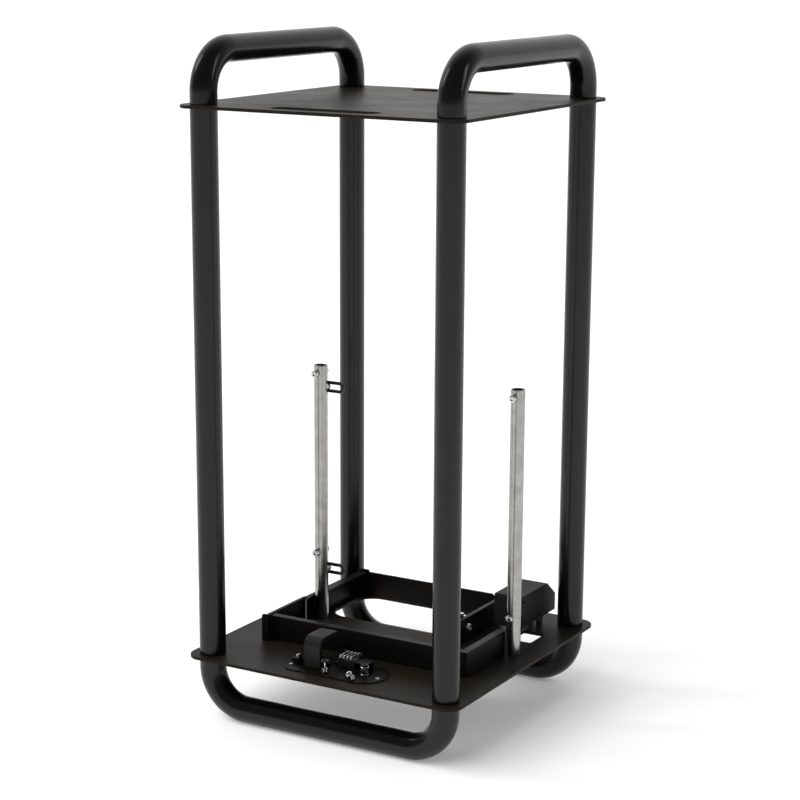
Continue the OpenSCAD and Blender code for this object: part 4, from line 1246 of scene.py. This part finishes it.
@dataclass
class Studio:
    """A plain pale floor, soft light and the camera."""

    camera_at: tuple[float, float, float] = (1.3447, -2.2983, 0.9917)
    yaw: float = math.radians(30.441)
    pitch: float = math.radians(14.084)
    roll: float = math.radians(0.227)
    lens: float = 96.67
    shift: tuple[float, float] = (0.0100, 0.0747)
    sky: tuple[float, float] = (0.12, 1.05)
    sky_turn: tuple[float, float] = (-0.1, 0.85)
    floor_half: float = 30
    floor_glow: float = 0.2
    sun: float = 2.6
    sun_from: tuple[float, float, float] = (-0.55, -0.75, 1.0)
    sun_spread: float = math.radians(75)
    aim: tuple[float, float, float] = (0, 0, 0.5)
    strips: tuple[LightStrip, ...] = (LightStrip("left_strip", (-2.4, -0.8, 2.6), (0.35, 1.4), 12),
                                      LightStrip("right_strip", (2.4, 0.5, 1.8), (0.3, 1.4), 6))

    def camera(self) -> None:
        """Looks along (-sin yaw cos pitch, cos yaw cos pitch, -sin pitch), rolled about that line."""
        flat = math.cos(self.pitch)
        forward = Vector((-math.sin(self.yaw) * flat, math.cos(self.yaw) * flat, -math.sin(self.pitch)))
        data = bpy.data.cameras.new("camera")
        data.sensor_width, data.lens = 36, self.lens
        data.shift_x, data.shift_y = self.shift
        data.clip_start, data.clip_end = 0.05, 100
        made = bpy.data.objects.new("camera", data)
        made.rotation_mode = "QUATERNION"
        turn = forward.to_track_quat("-Z", "Y").to_matrix() @ Matrix.Rotation(self.roll, 3, "Z")
        made.rotation_quaternion = turn.to_quaternion()
        made.location = self.camera_at
        bpy.context.scene.collection.objects.link(made)
        bpy.context.scene.camera = made

    def panel(self, strip_light: LightStrip) -> None:
        """A light strip turned towards the middle of the object."""
        data = bpy.data.lights.new(strip_light.name, "AREA")
        data.shape, data.energy = "RECTANGLE", strip_light.watts
        data.size, data.size_y = strip_light.size
        made = bpy.data.objects.new(strip_light.name, data)
        made.location = strip_light.at
        made.rotation_mode = "QUATERNION"
        made.rotation_quaternion = (Vector(self.aim) - Vector(strip_light.at)).to_track_quat("-Z", "Y")
        bpy.context.scene.collection.objects.link(made)

    def daylight(self) -> None:
        """Even light from above on the front left: it whitens the floor and shades it, with no highlight."""
        data = bpy.data.lights.new("daylight", "SUN")
        data.energy, data.angle = self.sun, self.sun_spread
        made = bpy.data.objects.new("daylight", data)
        made.rotation_mode = "QUATERNION"
        made.rotation_quaternion = Vector(self.sun_from).to_track_quat("Z", "Y")
        made.visible_glossy = False
        bpy.context.scene.collection.objects.link(made)

    def floor(self) -> None:
        """A wide pale floor: a square of four corners, far larger than the view."""
        mesh = bpy.data.meshes.new("floor")
        half = self.floor_half
        corners = [(-half, -half, 0), (half, -half, 0), (half, half, 0), (-half, half, 0)]
        mesh.from_pydata(corners, [], [(0, 1, 2, 3)])
        made = bpy.data.objects.new("floor", mesh)
        bpy.context.scene.collection.objects.link(made)
        g = Graph("floor_paint")
        g.join(g.blend(g.spread(g.noise(900, 2), 0, 1), (0.93, 0.93, 0.93), (0.95, 0.95, 0.95)),
               g.shader.inputs["Base Color"])
        g.shader.inputs["Roughness"].default_value = 0.9
        g.shader.inputs["Specular IOR Level"].default_value = 0.1
        g.shader.inputs["Emission Color"].default_value = (1, 1, 1, 1)
        g.shader.inputs["Emission Strength"].default_value = self.floor_glow
        mesh.materials.append(g.material)

    def air(self) -> None:
        """Soft light from all round, bright behind the object and dim above it and in front of it.

        For a direction d the strength is a smooth blend over d . back, where back is a level direction.
        """
        world = bpy.data.worlds.new("studio_air")
        bpy.context.scene.world = world
        world.use_nodes = True
        tree = world.node_tree
        across = tree.nodes.new("ShaderNodeVectorMath")
        across.operation = "DOT_PRODUCT"
        across.inputs[1].default_value = (-math.sin(self.yaw), math.cos(self.yaw), 0)
        tree.links.new(tree.nodes.new("ShaderNodeTexCoord").outputs["Generated"], across.inputs[0])
        level = tree.nodes.new("ShaderNodeMapRange")
        level.interpolation_type = "SMOOTHSTEP"
        for key, number in zip(("From Min", "From Max", "To Min", "To Max"), self.sky_turn + self.sky):
            level.inputs[key].default_value = number
        tree.links.new(across.outputs["Value"], level.inputs["Value"])
        background = tree.nodes["Background"]
        background.inputs["Color"].default_value = (1, 1, 1, 1)
        tree.links.new(level.outputs["Result"], background.inputs["Strength"])

    def build(self) -> None:
        """Sets up the camera, the lights, the sky and the floor."""
        self.camera()
        scene = bpy.context.scene
        scene.view_settings.view_transform = "Standard"
        self.air()
        self.daylight()
        for light in self.strips:
            self.panel(light)
        self.floor()


def main() -> None:
    """Builds every sub-assembly in order, dresses the nodes that stay, and sets up the studio."""
    logging.basicConfig(level=logging.INFO, format="%(message)s")
    shop = Workshop()
    for part in (TubeFrame, Plates, Cradle, ElectronicsBox, Posts, LatchUnit, ContactUnit):
        part(shop).build()
        log.info("%s is built", part.__name__)
    shop.dress(["base_joint_plugs", "top_joint_plugs", "joining_studs", "post_feet", "post_foot_screws",
                "box_base", "box_screws", "contact_board"])
    Studio().build()


if __name__ == "__main__":
    main()
